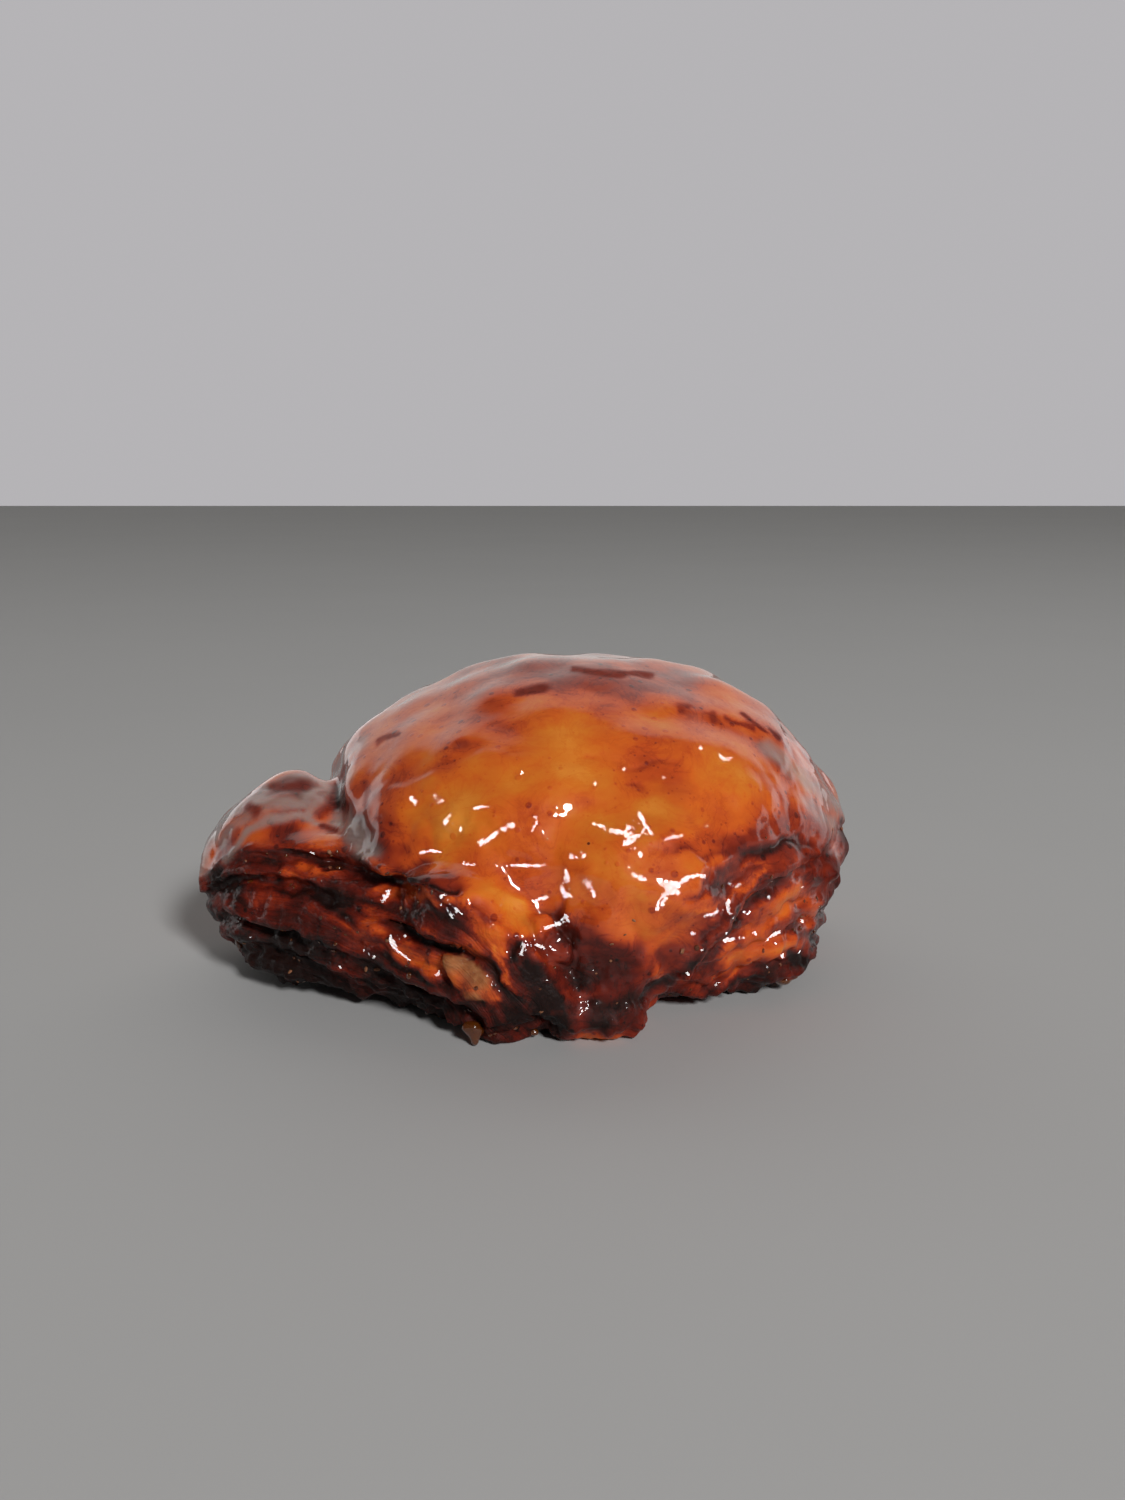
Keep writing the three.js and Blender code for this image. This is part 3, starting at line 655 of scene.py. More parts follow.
def makeCrust():
    lowest, highest = np.array(dough["low"]) - dough["room"], np.array(dough["high"]) + dough["room"]

    def cutFlat(points):
        return np.maximum(pastryField(points), -points[..., 2])

    points, quads = wrap(measure(cutFlat, lowest, highest, dough["grid"]), lowest, dough["grid"])
    print("crust skin", len(points), "points")
    normals = outward(points, quads)
    at, turned = points.astype(np.float32), normals.astype(np.float32)
    # how hollow, how deep-set and how thin the skin is at each point: for painted shade in hollows, painted
    # light on thin edges, and where crumbs gather
    hollow = np.clip(1 - pastryField(at + 1.2 * turned) / 1.2, 0, 1)
    deep = np.clip(1 - pastryField(at + 3.2 * turned) / 3.2, 0, 1)
    proud = np.clip(1 + pastryField(at - 1.6 * turned) / 1.6, 0, 1)

    angle = bearing(points)
    height = unevenFrom(points[:, 2], points)
    layered, sideBakeAndShade, grainAlong, grainAcross = alongSides(points, angle, height, wanderOf(points))
    layered *= calm(points)
    dome = 1 - layered
    # pleats that run on above the right edge
    right = downSide(frontRight, angle, height)
    pleat = ease((right["below"] + 9.5) / 4.5) * ease((angle - 290) / 6) * ease((342 - angle) / 12) * dome

    # thin leaves on the sides, smoother at the right, and lumps near the plate
    flow = 0.6 * waves(points, 12, 6, 41)
    leaves = np.sin(2 * math.pi * grainAcross / crust["leafPitch"] + 2.2 * flow + 0.1 * grainAlong)
    leaves = leaves * (0.45 + 0.4 * waves(points, 8, 6, 42))
    crumbly = np.maximum(ease((11 - points[:, 2]) / 8), spot(points, (8, -43, 9), (13, 9, 7)))
    smoother = 1 - 0.65 * ease((angle - 285) / 15)
    move = np.maximum(layered, 0.9 * pleat) * crust["leafHeight"] * smoother * leaves
    move += layered * (0.17 * waves(points, 3.4, 9, 43) + 0.07 * waves(points, 2.1, 9, 60))
    move += crumbly * (0.28 * waves(points, 6.5, 9, 44) + 0.30 * np.abs(waves(points, 3.0, 9, 48)) - 0.15)

    # ripples and blisters of the glaze, mostly on the dome's front
    front = ease((0.80 - normals[:, 2]) / 0.45)
    for centre, radii, share in (((-40, 5, 34), (8, 10, 9), 0.9), ((-31, -18, 26), (6, 11, 9), 0.85),
                                 ((44, 2, 27), (10, 16, 9), 0.85)):
        front = front * (1 - share * spot(points, centre, radii))
    front = front * ease((0.35 - normals[:, 1]) / 0.5)
    ripples = np.abs(waves(points, 10.5, 7, 45)) + 0.45 * np.abs(waves(points, 5.0, 7, 46)) - 0.9
    move += (dome + 0.3 * layered) * crust["rippleHeight"] * ripples * (0.12 + 0.88 * front)
    blisters = ease((waves(points, 5.2, 9, 49) - 0.6) / 1.2)
    blisters = blisters + 0.55 * ease((waves(points, 3.2, 9, 50) - 0.8) / 0.9)
    move += dome * crust["blisterHeight"] * blisters * (0.15 + 0.85 * front)
    move *= ease(points[:, 2] / 1.2)

    # dark lines lie a little deeper than light ones
    paintedHaze, bare, change, facet = frontMarks(points, normals)
    move -= crust["strokeDepth"] * np.clip(change, -0.3, 0.3) * ease(points[:, 2] / 1.2)
    # the split along the lower left rim of the dome
    split = np.exp(-(nearestOnWay(points, crust["split"]) / crust["splitWidth"]) ** 2)
    move -= crust["splitDepth"] * split
    # raw dough that shows under the torn layer left of the knot
    flat = frontPlace(points)
    patch = insidePatch(flat, crust["torn"])
    patch = np.where(points[:, 1] < -30, patch + 0.2 * waves(points, 4, 6, 47), -9)
    raw = np.minimum(*[nearestOnWay(flat, way) / wide for way, wide in crust["raw"]])
    pale = ease((patch + 0.2) / 0.5) * (0.12 + 0.88 * np.exp(-0.7 * raw ** 3))
    torn = ease((patch + 0.3) / 0.7)
    move += crust["tornRise"] * torn
    above = np.exp(-((patch + 0.8) / 0.6) ** 2) * ease((points[:, 2] - 8.5 + 0.3 * (points[:, 0] + 15)) / 2)
    move -= crust["tornGap"] * above

    bakeAndShade = crust["domeBake"] * dome + sideBakeAndShade * layered + crust["pleatBake"] * pleat
    warped = points + 2.2 * np.stack([waves(points, 16, 6, seed) for seed in (51, 52, 53)], 1)
    for centre, radii, amount in stains:
        bakeAndShade += amount * spot(warped, centre, radii)
    bakeAndShade += 0.06 * waves(points, 17, 8, 54) + 0.05 * waves(points, 7, 8, 55)
    bakeAndShade = np.minimum(bakeAndShade, crust["softBake"] + 0.4 * np.maximum(layered, 0.3 * crumbly))
    # the strokes: partly bake, partly painted shade in the gaps and painted light on lit strands
    bakeAndShade += change
    bakeAndShade += bare * (crust["burntBake"] + 0.14 * ease((points[:, 0] - 43) / 4) - bakeAndShade)
    # the leaves' own colour, painted light on the thin proud edges of the layers, and painted shade in hollows
    # and deep-set places
    bakeAndShade += (0.07 * np.maximum(layered, pleat) * leaves - 0.10 * layered * (proud - 0.3)
             + 0.13 * hollow + 0.05 * deep)
    bakeAndShade += 0.06 * ease((9 - points[:, 2]) / 8)
    bakeAndShade = bakeAndShade * (1 - torn) + (crust["tornBake"] + 0.08 * waves(points, 4.5, 7, 63)) * torn
    # painted shade: darker in hollows, in the split and in the gap above the torn layer
    creaseShade = np.clip(1.3 * hollow * (1 - 0.6 * crumbly) - 0.40 + 0.8 * split + 0.8 * above, 0, 1)

    points = points + normals * move[:, None]
    points[:, 2] = np.maximum(points[:, 2], 0)
    placed = inFrame(points)
    fitInside(placed)
    # flat faces lie to the front and up, more to the left further right, steeper higher up
    down = 0.04 - placed[:, 2]
    lie = np.stack((0.193 - 2.26 * placed[:, 0], -0.907 + 0.9 * down, 0.372 + 3.0 * down), 1)
    # where crumbs and beads stick
    offPlate = ease((points[:, 2] - 0.8) / 0.8)
    spread = np.clip(0.9 * crumbly + 0.6 * layered * ease(hollow * 3) + 0.25 * layered, 0, 1) * offPlate
    sugar = np.clip(layered + pleat + spot(points, (-2, -42, 18), (5, 5, 8)), 0, 1)

    piece = makeObject("pastry_crust", placed, quads, crustMaterial())
    for name, values in {
        "bakeAndShade": bakeAndShade, "creaseShade": creaseShade, "pale": pale, "layered": np.maximum(layered, 0.8 * pleat) * smoother,
        "grain": np.stack((grainAlong, grainAcross, np.ones(len(points))), 1),
        "lumps": crumbly, "bare": bare, "paintedHaze": paintedHaze,
        "facetWay": facet, "facetReach": np.linalg.norm(facet[:, :2], axis=1) - facet[:, 2], "lie": lie,
        "crumbs": spread * ease(0.4 + waves(points, 14, 7, 61)),
        "beads": sugar * ease(0.2 + waves(points, 11, 7, 62)) * offPlate,
    }.items():
        giveAttribute(piece.data, name, values)
    closeBase(piece.data)
    print("crust", len(piece.data.polygons), "faces")
    return piece


def closeBase(mesh):
    # the part that stands on the plate is one flat face
    edit = bmesh.new()
    edit.from_mesh(mesh)
    flat = [face for face in edit.faces if all(corner.co.z < 0.00002 for corner in face.verts)]
    bmesh.ops.delete(edit, geom=flat, context="FACES")
    rim = [edge for edge in edit.edges if edge.is_boundary]
    for face in bmesh.ops.edgeloop_fill(edit, edges=rim)["faces"]:
        if face.normal.z > 0:
            face.normal_flip()
        face.smooth = False
    edit.to_mesh(mesh)
    edit.free()
    mesh.update()


def isSocket(value):
    return isinstance(value, bpy.types.NodeSocket)


def link(tree, source, target):
    tree.links.new(source, target)


def add(tree, kind, settings=None, inputs=None):
    made = tree.nodes.new(kind)
    made.location = (len(tree.nodes) % 9 * 190, -(len(tree.nodes) // 9) * 260)
    for name, value in (settings or {}).items():
        setattr(made, name, value)
    for name, value in (inputs or {}).items():
        if isSocket(value):
            link(tree, value, made.inputs[name])
        else:
            made.inputs[name].default_value = value
    return made


def maths(tree, operation, first, second=0.0, clamp=False):
    settings = {"operation": operation, "use_clamp": clamp}
    return add(tree, "ShaderNodeMath", settings, {0: first, 1: second}).outputs[0]


def times(tree, first, second):
    return maths(tree, "MULTIPLY", first, second)


def plus(tree, first, second, share=None):
    # the first value and the second one, or a share of the second one
    return maths(tree, "ADD", first, second if share is None else times(tree, second, share))


def minus(tree, first, second, clamp=False):
    return maths(tree, "SUBTRACT", first, second, clamp)


def vectorMaths(tree, operation, first, second=None):
    inputs = {0: first}
    if second is not None:
        inputs["Scale" if operation == "SCALE" else 1] = second
    made = add(tree, "ShaderNodeVectorMath", {"operation": operation}, inputs)
    return made.outputs["Value" if operation == "LENGTH" else 0]


def stretch(tree, value, low, high, newLow=0.0, newHigh=1.0):
    made = add(tree, "ShaderNodeMapRange", {"clamp": True}, {
        "Value": value, "From Min": low, "From Max": high, "To Min": newLow, "To Max": newHigh})
    return made.outputs["Result"]


def noise(tree, where, scale, detail=3.0, rough=0.55, warp=0.0):
    made = add(tree, "ShaderNodeTexNoise", None, {
        "Vector": where, "Scale": scale, "Detail": detail, "Roughness": rough, "Distortion": warp})
    return made.outputs["Fac"]


def voronoi(tree, where, scale, feature="F1"):
    return add(tree, "ShaderNodeTexVoronoi", {"feature": feature}, {"Vector": where, "Scale": scale})


def channel(tree, colour, number):
    return add(tree, "ShaderNodeSeparateColor", None, {"Color": colour}).outputs[number]


def objectPlace(tree):
    return add(tree, "ShaderNodeTexCoord").outputs["Object"]


def mixColour(tree, share, first, second, kind="MIX"):
    made = add(tree, "ShaderNodeMix", {"data_type": "RGBA", "blend_type": kind}, {0: share})
    for number, value in ((6, first), (7, second)):
        if isSocket(value):
            link(tree, value, made.inputs[number])
        else:
            made.inputs[number].default_value = (*value, 1)
    return made.outputs[2]


def colourRamp(tree, value, colours):
    ramp = add(tree, "ShaderNodeValToRGB", None, {"Fac": value})
    stops = ramp.color_ramp.elements
    while len(stops) < len(colours):
        stops.new(0.5)
    for stop, (position, colour) in zip(stops, colours):
        stop.position = position
        stop.color = (*colour, 1)
    return ramp.outputs["Color"]


def newMaterial(name):
    material = bpy.data.materials.new(name)
    material.use_nodes = True
    tree = material.node_tree
    tree.nodes.clear()
    shader = add(tree, "ShaderNodeBsdfPrincipled")
    link(tree, shader.outputs[0], add(tree, "ShaderNodeOutputMaterial").inputs[0])
    return material, tree, shader


def setShader(shader, values):
    for name, value in values.items():
        shader.inputs[name].default_value = value


def bumpUp(tree, shader, height, strength, distance):
    bump = add(tree, "ShaderNodeBump", None, {"Height": height, "Strength": strength, "Distance": distance})
    link(tree, bump.outputs[0], shader.inputs["Normal"])


def newGroup(name, inputs, outputs):
    # a group's named inputs, a vector where there is no value, and its named outputs
    group = bpy.data.node_groups.new(name, "ShaderNodeTree")
    for label, value in inputs.items():
        kind = "NodeSocketVector" if value is None else "NodeSocketFloat"
        socket = group.interface.new_socket(label, in_out="INPUT", socket_type=kind)
        if value is not None:
            socket.default_value = value
    for label in outputs:
        group.interface.new_socket(label, in_out="OUTPUT", socket_type="NodeSocketFloat")
    return group, add(group, "NodeGroupInput").outputs, add(group, "NodeGroupOutput").inputs


def makeCaramelMottle():
    # cloudy patches, dark veins and small burnt specks of cooked sugar, each from 0 to 1
    group, given, out = newGroup("caramel mottle", {"Vector": None, "Patch Scale": 90.0, "Speck Scale": 900.0},
                                 ("Patches", "Veins", "Specks"))
    where = given["Vector"]
    link(group, noise(group, where, given["Patch Scale"], 6.0, 0.62, 0.6), out["Patches"])
    ridge = noise(group, where, times(group, given["Patch Scale"], 1.6), 5.0, 0.6, 1.2)
    ridge = maths(group, "ABSOLUTE", minus(group, ridge, 0.5))
    link(group, stretch(group, ridge, 0.0, 0.035, 1.0, 0.0), out["Veins"])
    cells = voronoi(group, where, given["Speck Scale"]).outputs
    size = stretch(group, channel(group, cells["Color"], 0), 0.72, 1.0, 0.0, 0.42)
    link(group, stretch(group, minus(group, size, cells["Distance"]), 0.0, 0.12), out["Specks"])
    return group


def makeFineGrain():
    # the fine roughness of a baked surface as a height
    group, given, out = newGroup("baked grain", {"Vector": None, "Scale": 900.0}, ("Height",))
    pits = voronoi(group, given["Vector"], given["Scale"], "SMOOTH_F1")
    pits.inputs["Smoothness"].default_value = 0.6
    fine = noise(group, given["Vector"], given["Scale"], 4.0, 0.6)
    link(group, plus(group, fine, pits.outputs["Distance"], 0.5), out["Height"])
    return group


groups = {"mottle": makeCaramelMottle(), "grain": makeFineGrain()}


def place(tree, name, inputs):
    return add(tree, "ShaderNodeGroup", {"node_tree": groups[name]}, inputs).outputs


def crustMaterial():
    material, tree, shader = newMaterial("caramelised_crust")
    where = objectPlace(tree)

    def attribute(name, output="Fac"):
        return add(tree, "ShaderNodeAttribute", {"attribute_name": name}).outputs[output]

    def drawn(source, scale, detail, rough, warp):
        # noise that is drawn out along an axis
        drawnOut = add(tree, "ShaderNodeMapping", None, {"Vector": source, "Scale": scale}).outputs[0]
        return noise(tree, drawnOut, 1.0, detail, rough, warp)

    def about(value, share):
        return times(tree, minus(tree, value, 0.5), share)

    bakeAndShade, creaseShade, pale = attribute("bakeAndShade"), attribute("creaseShade"), attribute("pale")
    layered, lumps, grain = attribute("layered"), attribute("lumps"), attribute("grain", "Vector")
    mottle = place(tree, "mottle", {"Vector": where, "Patch Scale": 85.0, "Speck Scale": 620.0})
    fine = place(tree, "mottle", {"Vector": where, "Patch Scale": 420.0, "Speck Scale": 1500.0})
    streaks = drawn(grain, (0.10, 1.15, 1.0), 5.0, 0.62, 0.5)     # these run with the layers
    thin = drawn(grain, (0.25, 3.4, 1.0), 3.0, 0.6, 0.3)
    flows = drawn(where, (70.0, 150.0, 230.0), 6.0, 0.65, 1.0)    # sugar that lies across the dome

    uneven = plus(tree, about(mottle["Patches"], 0.28), about(flows, 0.32))
    uneven = plus(tree, uneven, about(fine["Patches"], 0.22))
    steady = minus(tree, stretch(tree, bakeAndShade, 0.38, 0.58, 0.0, 0.55), layered, True)
    steady = maths(tree, "MAXIMUM", steady, times(tree, lumps, 0.5))
    streak = times(tree, plus(tree, minus(tree, streaks, 0.5), about(thin, 0.6)), layered)
    shade = plus(tree, bakeAndShade, uneven, minus(tree, 1.0, steady))
    for value, share in ((mottle["Veins"], 0.07), (streak, 0.30),
                         (mottle["Specks"], 0.14), (fine["Specks"], 0.09)):
        shade = plus(tree, shade, value, share)

    # colour by bake, with the painted shade and light that the bake carries
    colour = colourRamp(tree, shade, crust["bakeColours"])
    paleShare = stretch(tree, plus(tree, fine["Patches"], streaks, 0.5), 0.55, 0.95)
    paleColour = mixColour(tree, paleShare, *crust["paleDough"])
    colour = mixColour(tree, times(tree, pale, 0.92), colour, paleColour)
    # painted reflection: a pale haze of the bright wall over the lobes, broken up by the flows
    paintedHaze = times(tree, attribute("paintedHaze"), stretch(tree, flows, 0.3, 0.6, 0.65, 1.0))
    colour = mixColour(tree, paintedHaze, colour, crust["paintedHaze"])
    # painted shade darkens the creases
    link(tree, mixColour(tree, times(tree, creaseShade, 0.7), colour, crust["creaseShade"]), shader.inputs["Base Color"])

    height = place(tree, "grain", {"Vector": where, "Scale": 700.0})["Height"]
    height = times(tree, height, stretch(tree, layered, 0.0, 1.0, 0.25, 1.0))
    for value, share in ((streak, 1.5), (times(tree, fine["Patches"], layered), 1.6),
                         (mottle["Specks"], 0.3)):
        height = plus(tree, height, value, share)
    bumpUp(tree, shader, height, 1.0, 0.00022)

    # the glaze is smooth on the dome, but for some flat faces, and broken on the layers
    film = add(tree, "ShaderNodeNewGeometry").outputs["Normal"]
    broken = stretch(tree, maths(tree, "MAXIMUM", layered, lumps), 0.25, 1.0)
    for scale, amount in crust["sugarFaces"]:
        lean = vectorMaths(tree, "SUBTRACT", voronoi(tree, where, scale).outputs["Color"], (0.5, 0.5, 0.5))
        film = vectorMaths(tree, "ADD", film, vectorMaths(tree, "SCALE", lean, times(tree, broken, amount)))
    chance = channel(tree, voronoi(tree, where, 1700.0).outputs["Color"], 1)
    way = attribute("facetWay", "Vector")
    across = vectorMaths(tree, "LENGTH", vectorMaths(tree, "MULTIPLY", way, (1.0, 1.0, 0.0)))
    half = add(tree, "ShaderNodeSeparateXYZ", None, {"Vector": way}).outputs["Z"]
    half = times(tree, half, stretch(tree, chance, 0.25, 0.75, 0.3, 0.88))
    near = maths(tree, "LESS_THAN", attribute("facetReach"), 0.45)
    chosen = times(tree, maths(tree, "LESS_THAN", across, half), near)
    lie = attribute("lie", "Vector")
    turned = add(tree, "ShaderNodeMix", {"data_type": "VECTOR"}, {0: chosen, 4: film, 5: lie})
    link(tree, vectorMaths(tree, "NORMALIZE", turned.outputs[1]), shader.inputs["Coat Normal"])

    rough = plus(tree, stretch(tree, fine["Patches"], 0.3, 0.7, 0.42, 0.62), pale, 0.3)
    link(tree, rough, shader.inputs["Roughness"])
    glaze = minus(tree, 1.0, times(tree, pale, 0.85), True)
    glaze = minus(tree, glaze, times(tree, creaseShade, 0.6), True)
    glaze = times(tree, glaze, stretch(tree, layered, 0.0, 1.0, 1.0, 0.34))
    glaze = times(tree, glaze, stretch(tree, lumps, 0.0, 1.0, 1.0, 0.2))
    shine = stretch(tree, fine["Patches"], 0.35, 0.65, 0.15, 0.28)
    glaze = plus(tree, glaze, chosen, minus(tree, shine, glaze))
    glaze = times(tree, glaze, minus(tree, 1.0, attribute("bare"), True))
    link(tree, glaze, shader.inputs["Coat Weight"])
    setShader(shader, crust["shader"])
    return material


pastryCrust = makeCrust()
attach(pastryCrust, "root")
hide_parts("kouign_amann")


# Hard caramel that ran out at the foot, each drip as lumps of (centre, radii) in the dough frame,
# and the looks of the small pieces. The gap and the sizes of what is strewn are in metres.
caramel = {
    "drips": (
        (((-12.8, -41.4, 2.5), (1.3, 1.1, 1.2)), ((-12.6, -41.7, 1.1), (0.6, 0.6, 0.9)),
         ((-14.0, -41.0, 2.8), (0.8, 0.8, 0.7))),
        (((-52.9, -15.6, 7.4), (0.9, 0.8, 0.8)), ((-53.1, -16.0, 6.7), (0.45, 0.45, 0.6))),
        (((-4.6, -38.6, 1.1), (1.0, 0.8, 0.7)), ((-5.6, -38.4, 0.8), (0.7, 0.6, 0.5))),
        (((35.5, -20.6, 2.2), (1.5, 1.0, 0.8)), ((37.0, -19.6, 2.6), (0.9, 0.8, 0.6))),
        (((3.1, 50.4, 2.3), (1.7, 1.3, 1.4)), ((2.5, 51.0, 1.1), (0.9, 0.9, 1.0))),
        (((41.2, 12.2, 2.4), (1.3, 1.6, 1.2)), ((41.4, 11.4, 1.2), (0.8, 1.0, 0.9))),
        (((-31.4, 18.4, 2.3), (1.4, 1.5, 1.2)), ((-31.9, 18.1, 1.1), (0.9, 0.9, 0.8))),
    ),
    "grid": 0.2, "room": 1.2, "gap": 0.00003,
    "patches": 300.0, "specks": 1300.0, "spread": (0.3, 0.7),
    "colours": ((0.16, 0.034, 0.005), (0.34, 0.095, 0.011)), "marks": ("Veins", 0.5, (0.20, 0.035, 0.006)),
    "grain": 900.0, "bump": (0.6, 0.00008), "rough": (0.10, 0.22),
    "shader": {"Coat Weight": 1.0, "Coat Roughness": 0.02, "Transmission Weight": 0.65, "IOR": 1.48},
    "strewn": {"Density": 60000.0, "Smallest": 0.00012, "Largest": 0.00042, "Seed": 4},
    "lump": {"where": "beads", "uneven": 0.5, "tip": 0.3, "flat": 0.6},
}
crumb = {
    "patches": 260.0, "specks": 2200.0, "spread": (0.35, 0.75),
    "colours": ((0.13, 0.030, 0.010), (0.38, 0.17, 0.075)), "marks": ("Specks", 0.6, (0.10, 0.03, 0.012)),
    "grain": 1800.0, "bump": (1.0, 0.00012), "rough": (0.45, 0.75),
    "shader": {"Subsurface Weight": 0.15, "Subsurface Scale": 0.001},
    "strewn": {"Density": 40000.0, "Smallest": 0.00014, "Largest": 0.00050, "Seed": 9},
    "lump": {"where": "crumbs", "uneven": 1.3, "tip": 0.9, "flat": 0.45},
}


def lumpMaterial(name, look):
    material, tree, shader = newMaterial(name)
    where = objectPlace(tree)
    mottle = place(tree, "mottle", {
        "Vector": where, "Patch Scale": look["patches"], "Speck Scale": look["specks"]})
    share = stretch(tree, mottle["Patches"], *look["spread"])
    kind, amount, dark = look["marks"]
    colour = mixColour(tree, share, *look["colours"])
    colour = mixColour(tree, times(tree, mottle[kind], amount), colour, dark)
    link(tree, colour, shader.inputs["Base Color"])
    height = place(tree, "grain", {"Vector": where, "Scale": look["grain"]})["Height"]
    bumpUp(tree, shader, height, *look["bump"])
    link(tree, stretch(tree, share, 0.0, 1.0, *look["rough"]), shader.inputs["Roughness"])
    setShader(shader, look["shader"])
    return material


def makeDrips(material):
    points, quads, count = [], [], 0
    for drip in caramel["drips"]:
        centres = np.array([centre for centre, radii in drip])
        reach = max(max(radii) for centre, radii in drip) + caramel["room"]

        def dripField(at):
            moved = at + 0.12 * np.stack([waves(at, 2.6, 5, seed) for seed in (71, 72, 73)], -1)
            body = ellipsoid(moved, *drip[0])
            for lump in drip[1:]:
                body = join(body, ellipsoid(moved, *lump), 0.8)
            return np.maximum(body, 0.05 - at[..., 2])

        lowest, highest = centres.min(0) - reach, centres.max(0) + reach
        lowest[2] = min(lowest[2], -0.5)
        skin, faces = wrap(measure(dripField, lowest, highest, caramel["grid"], 9), lowest, caramel["grid"])
        points.append(skin)
        quads.append(faces + count)
        count += len(skin)
    placed = insideBox(inFrame(np.concatenate(points)))
    return makeObject("caramel_drips", placed, np.concatenate(quads), material)


def insideBox(points):
    # nothing small stands out of the room that the pastry takes
    low, high = np.array(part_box("kouign_amann"))
    return np.clip(points, low + caramel["gap"], high - caramel["gap"])


def scatterTree(name, lump):
    # lumps strewn over a surface where the named attribute says so
    tree = bpy.data.node_groups.new(name, "GeometryNodeTree")

    def socket(label, way, kind, value=None):
        made = tree.interface.new_socket(label, in_out=way, socket_type="NodeSocket" + kind)
        if value is not None:
            made.default_value = value

    def chance(kind, low, high, seed):
        # the node keeps the sockets of both kinds: the vector's come first
        first = 0 if kind == "FLOAT_VECTOR" else 2
        values = {first: low, first + 1: high, "Seed": seed}
        made = add(tree, "FunctionNodeRandomValue", {"data_type": kind}, values)
        return made.outputs[first // 2]

    socket("Geometry", "INPUT", "Geometry")
    socket("Density", "INPUT", "Float", 1000.0)
    socket("Smallest", "INPUT", "Float", 0.0002)
    socket("Largest", "INPUT", "Float", 0.0008)
    socket("Seed", "INPUT", "Int", 1)
    socket("Material", "INPUT", "Material")
    socket("Geometry", "OUTPUT", "Geometry")
    given, out = add(tree, "NodeGroupInput").outputs, add(tree, "NodeGroupOutput").inputs
    share = add(tree, "GeometryNodeInputNamedAttribute", {"data_type": "FLOAT"}, {"Name": lump["where"]})
    density = times(tree, share.outputs["Attribute"], given["Density"])
    spread = add(tree, "GeometryNodeDistributePointsOnFaces", {"distribute_method": "RANDOM"}, {
        "Mesh": given["Geometry"], "Density": density, "Seed": given["Seed"]}).outputs
    ball = add(tree, "GeometryNodeMeshIcoSphere", None, {"Radius": 1.0, "Subdivisions": 2}).outputs["Mesh"]
    bumps = add(tree, "ShaderNodeTexNoise", None, {"Scale": 1.3, "Detail": 2.0}).outputs["Color"]
    shift = vectorMaths(tree, "SCALE", vectorMaths(tree, "SUBTRACT", bumps, (0.5, 0.5, 0.5)), lump["uneven"])
    ball = add(tree, "GeometryNodeSetPosition", None, {"Geometry": ball, "Offset": shift}).outputs[0]
    size = chance("FLOAT", given["Smallest"], given["Largest"], given["Seed"])
    shape = chance("FLOAT_VECTOR", (0.7, 0.7, lump["flat"] * 0.7), (1.3, 1.3, lump["flat"] * 1.3), 7)
    spin = chance("FLOAT_VECTOR", (-lump["tip"], -lump["tip"], 0.0), (lump["tip"], lump["tip"], 6.283), 3)
    turned = add(tree, "FunctionNodeRotateRotation", {"rotation_space": "LOCAL"}, {
        "Rotation": spread["Rotation"], "Rotate By": spin}).outputs[0]
    strewn = add(tree, "GeometryNodeInstanceOnPoints", None, {
        "Points": spread["Points"], "Instance": ball, "Rotation": turned,
        "Scale": vectorMaths(tree, "SCALE", shape, size)}).outputs[0]
    plain = add(tree, "GeometryNodeRealizeInstances", None, {"Geometry": strewn}).outputs[0]
    painted = add(tree, "GeometryNodeSetMaterial", None, {"Geometry": plain, "Material": given["Material"]})
    link(tree, painted.outputs[0], out["Geometry"])
    return tree


def strew(name, look, material):
    holder = bpy.data.objects.new(name, pastryCrust.data.copy())
    bpy.context.scene.collection.objects.link(holder)
    modifier = holder.modifiers.new("strew", "NODES")
    modifier.node_group = scatterTree("strew " + look["lump"]["where"], look["lump"])
    values = {**look["strewn"], "Material": material}
    for item in modifier.node_group.interface.items_tree:
        if item.in_out == "INPUT" and item.name in values:
            modifier[item.identifier] = values[item.name]
    mesh = bpy.data.meshes.new_from_object(holder.evaluated_get(bpy.context.evaluated_depsgraph_get()))
    holder.modifiers.clear()
    holder.data = mesh
    mesh.shade_smooth()
    points = np.empty(len(mesh.vertices) * 3, np.float32)
    mesh.vertices.foreach_get("co", points)
    mesh.vertices.foreach_set("co", insideBox(points.reshape(-1, 3)).astype(np.float32).ravel())
    mesh.update()
    print(name, len(mesh.polygons), "faces")
    return holder


amber, dry = lumpMaterial("hard_caramel", caramel), lumpMaterial("dry_crumb", crumb)
drips = makeDrips(amber)
beads = strew("caramel_beads", caramel, amber)
flakes = strew("dough_crumbs", crumb, dry)
for small, finish in ((drips, "caramel"), (beads, "caramel"), (flakes, "crumb")):
    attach(small, "root")


# floor, light and camera, in metres
studio = {
    "floorSize": 3.0, "floorColours": ((0.47, 0.465, 0.46), (0.50, 0.495, 0.49)),
    "wall": (0.465, 0.455, 0.47),
    "wallTint": (1.0, 0.98, 0.95),
    "behind": ((0.0, 0.66), (0.30, 0.70), (0.50, 0.72), (0.72, 0.70), (1.0, 0.45)),    # brightness by height
    "front": 0.05, "left": 1.2, "right": 0.95,
    "window": (0.35, -0.777, 0.515), "windowDistance": 2.0, "windowSize": (0.30, 0.36), "windowPower": 31.0,
    "target": (0.0, 0.0, 0.028),
    "lens": 32.88, "camera": (0.00492, -0.235346, 0.0828), "cameraDown": 11.57,
}


def makeFloor():
    material, tree, shader = newMaterial("pale_floor")
    share = noise(tree, objectPlace(tree), 6.0, 4.0, 0.6)
    link(tree, mixColour(tree, share, *studio["floorColours"]), shader.inputs["Base Color"])
    setShader(shader, {"Roughness": 0.8})
    far = studio["floorSize"]
    corners = ((-far, -far, 0), (far, -far, 0), (far, far, 0), (-far, far, 0))
    makeObject("floor", corners, ((0, 1, 2, 3),), material, False)


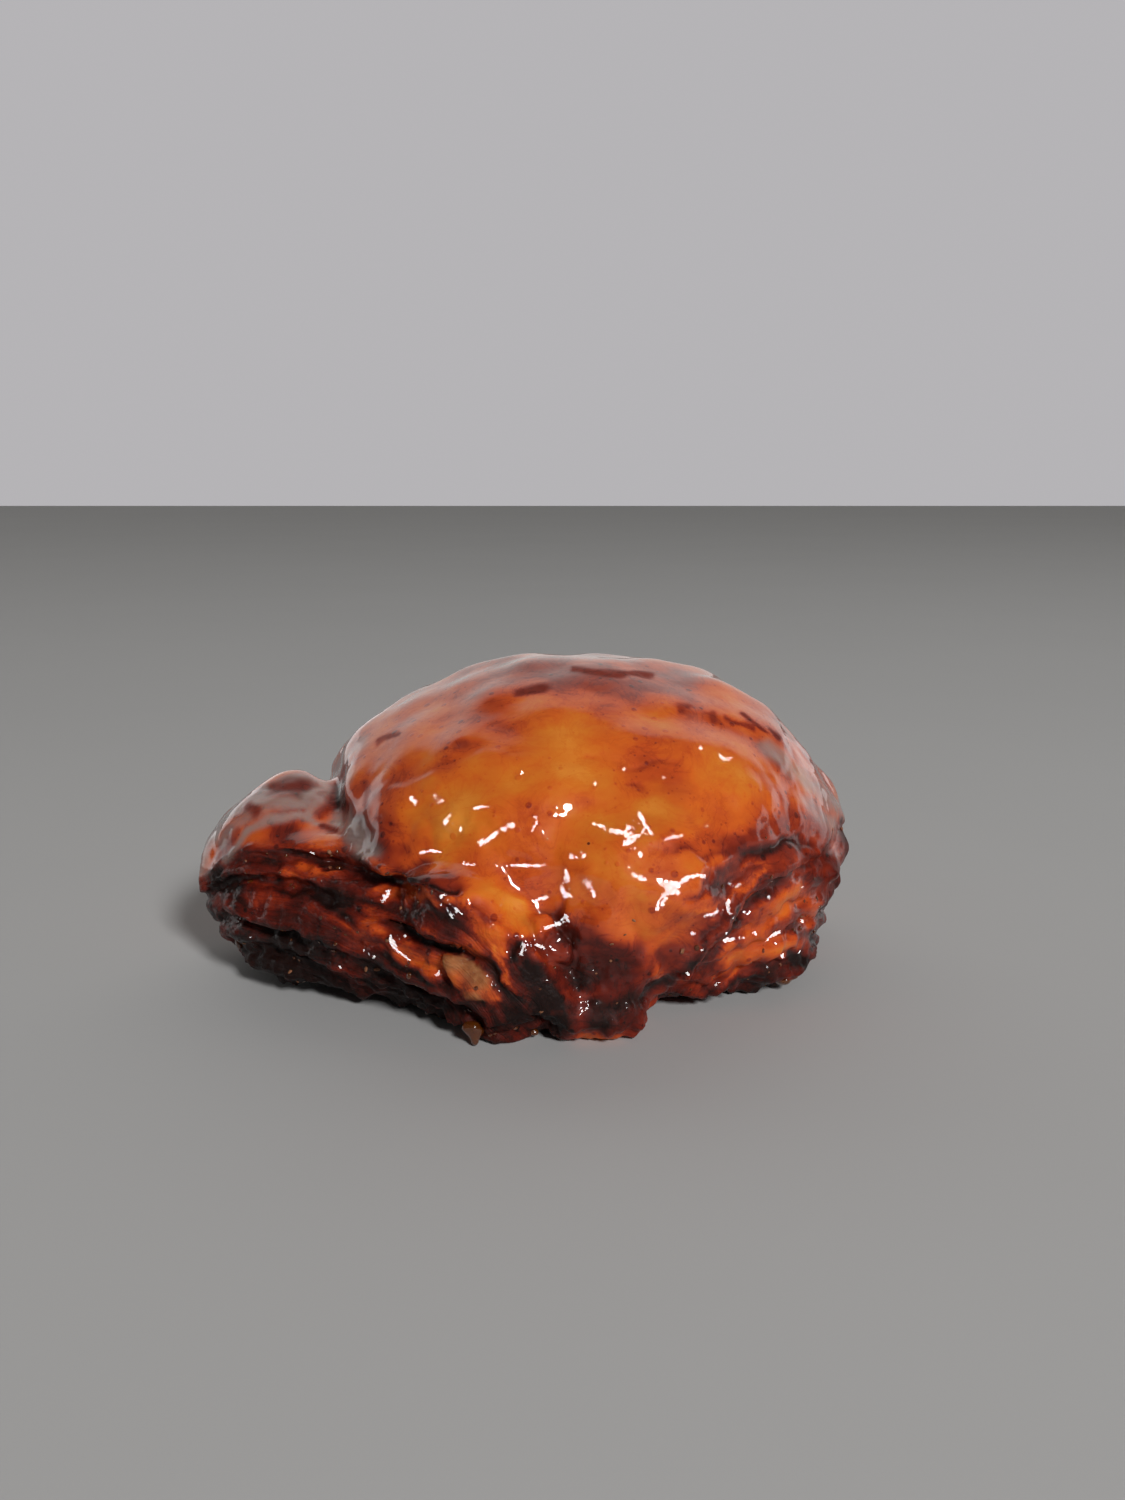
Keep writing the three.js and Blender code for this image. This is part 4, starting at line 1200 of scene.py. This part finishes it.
def makeWorld():
    world = bpy.data.worlds.new("soft room")
    bpy.context.scene.world = world
    world.use_nodes = True
    tree = world.node_tree
    tree.nodes.clear()
    # a pale wall behind, brighter above, and a dim room in front; the eye sees a plain wall all round
    direction = add(tree, "ShaderNodeTexCoord").outputs["Generated"]
    x, y, z = add(tree, "ShaderNodeSeparateXYZ", None, {"Vector": direction}).outputs
    red, green, blue = studio["wallTint"]
    wall = colourRamp(tree, z, [(height, (bright * red, bright * green, bright * blue))
                                for height, bright in studio["behind"]])
    back = stretch(tree, plus(tree, y, z, 0.3), 0.66, 0.78)
    # brighter low down at both sides
    low = plus(tree, times(tree, z, -0.6), minus(tree, y, 0.5), 0.8)
    left = stretch(tree, minus(tree, low, x), 0.54, 0.61, 0.0, studio["left"])
    right = stretch(tree, plus(tree, low, x), 0.66, 0.74, 0.0, studio["right"])
    light = mixColour(tree, back, (studio["front"],) * 3, wall)
    light = mixColour(tree, 1.0, light, maths(tree, "MAXIMUM", left, right), "LIGHTEN")
    seen = add(tree, "ShaderNodeLightPath").outputs["Is Camera Ray"]
    glow = add(tree, "ShaderNodeBackground", None, {
        "Color": mixColour(tree, seen, light, studio["wall"]), "Strength": 1.0})
    link(tree, glow.outputs[0], add(tree, "ShaderNodeOutputWorld").inputs[0])


def makeWindow():
    lamp = bpy.data.lights.new("window", "AREA")
    lamp.shape = "RECTANGLE"
    lamp.size, lamp.size_y = studio["windowSize"]
    lamp.energy = studio["windowPower"]
    holder = bpy.data.objects.new("window", lamp)
    bpy.context.scene.collection.objects.link(holder)
    toward = Vector(studio["window"]).normalized()
    holder.location = Vector(studio["target"]) + toward * studio["windowDistance"]
    holder.rotation_euler = toward.to_track_quat("Z", "Y").to_euler()


def makeCamera():
    lens = bpy.data.cameras.new("camera")
    lens.sensor_width = 36
    lens.lens = studio["lens"]
    lens.clip_start = 0.01
    holder = bpy.data.objects.new("camera", lens)
    bpy.context.scene.collection.objects.link(holder)
    holder.location = studio["camera"]
    holder.rotation_euler = (math.radians(90 - studio["cameraDown"]), 0, 0)
    bpy.context.scene.camera = holder


makeFloor()
makeWorld()
makeWindow()
makeCamera()
bpy.context.scene.view_settings.view_transform = "Standard"
print("floor, light and camera made")
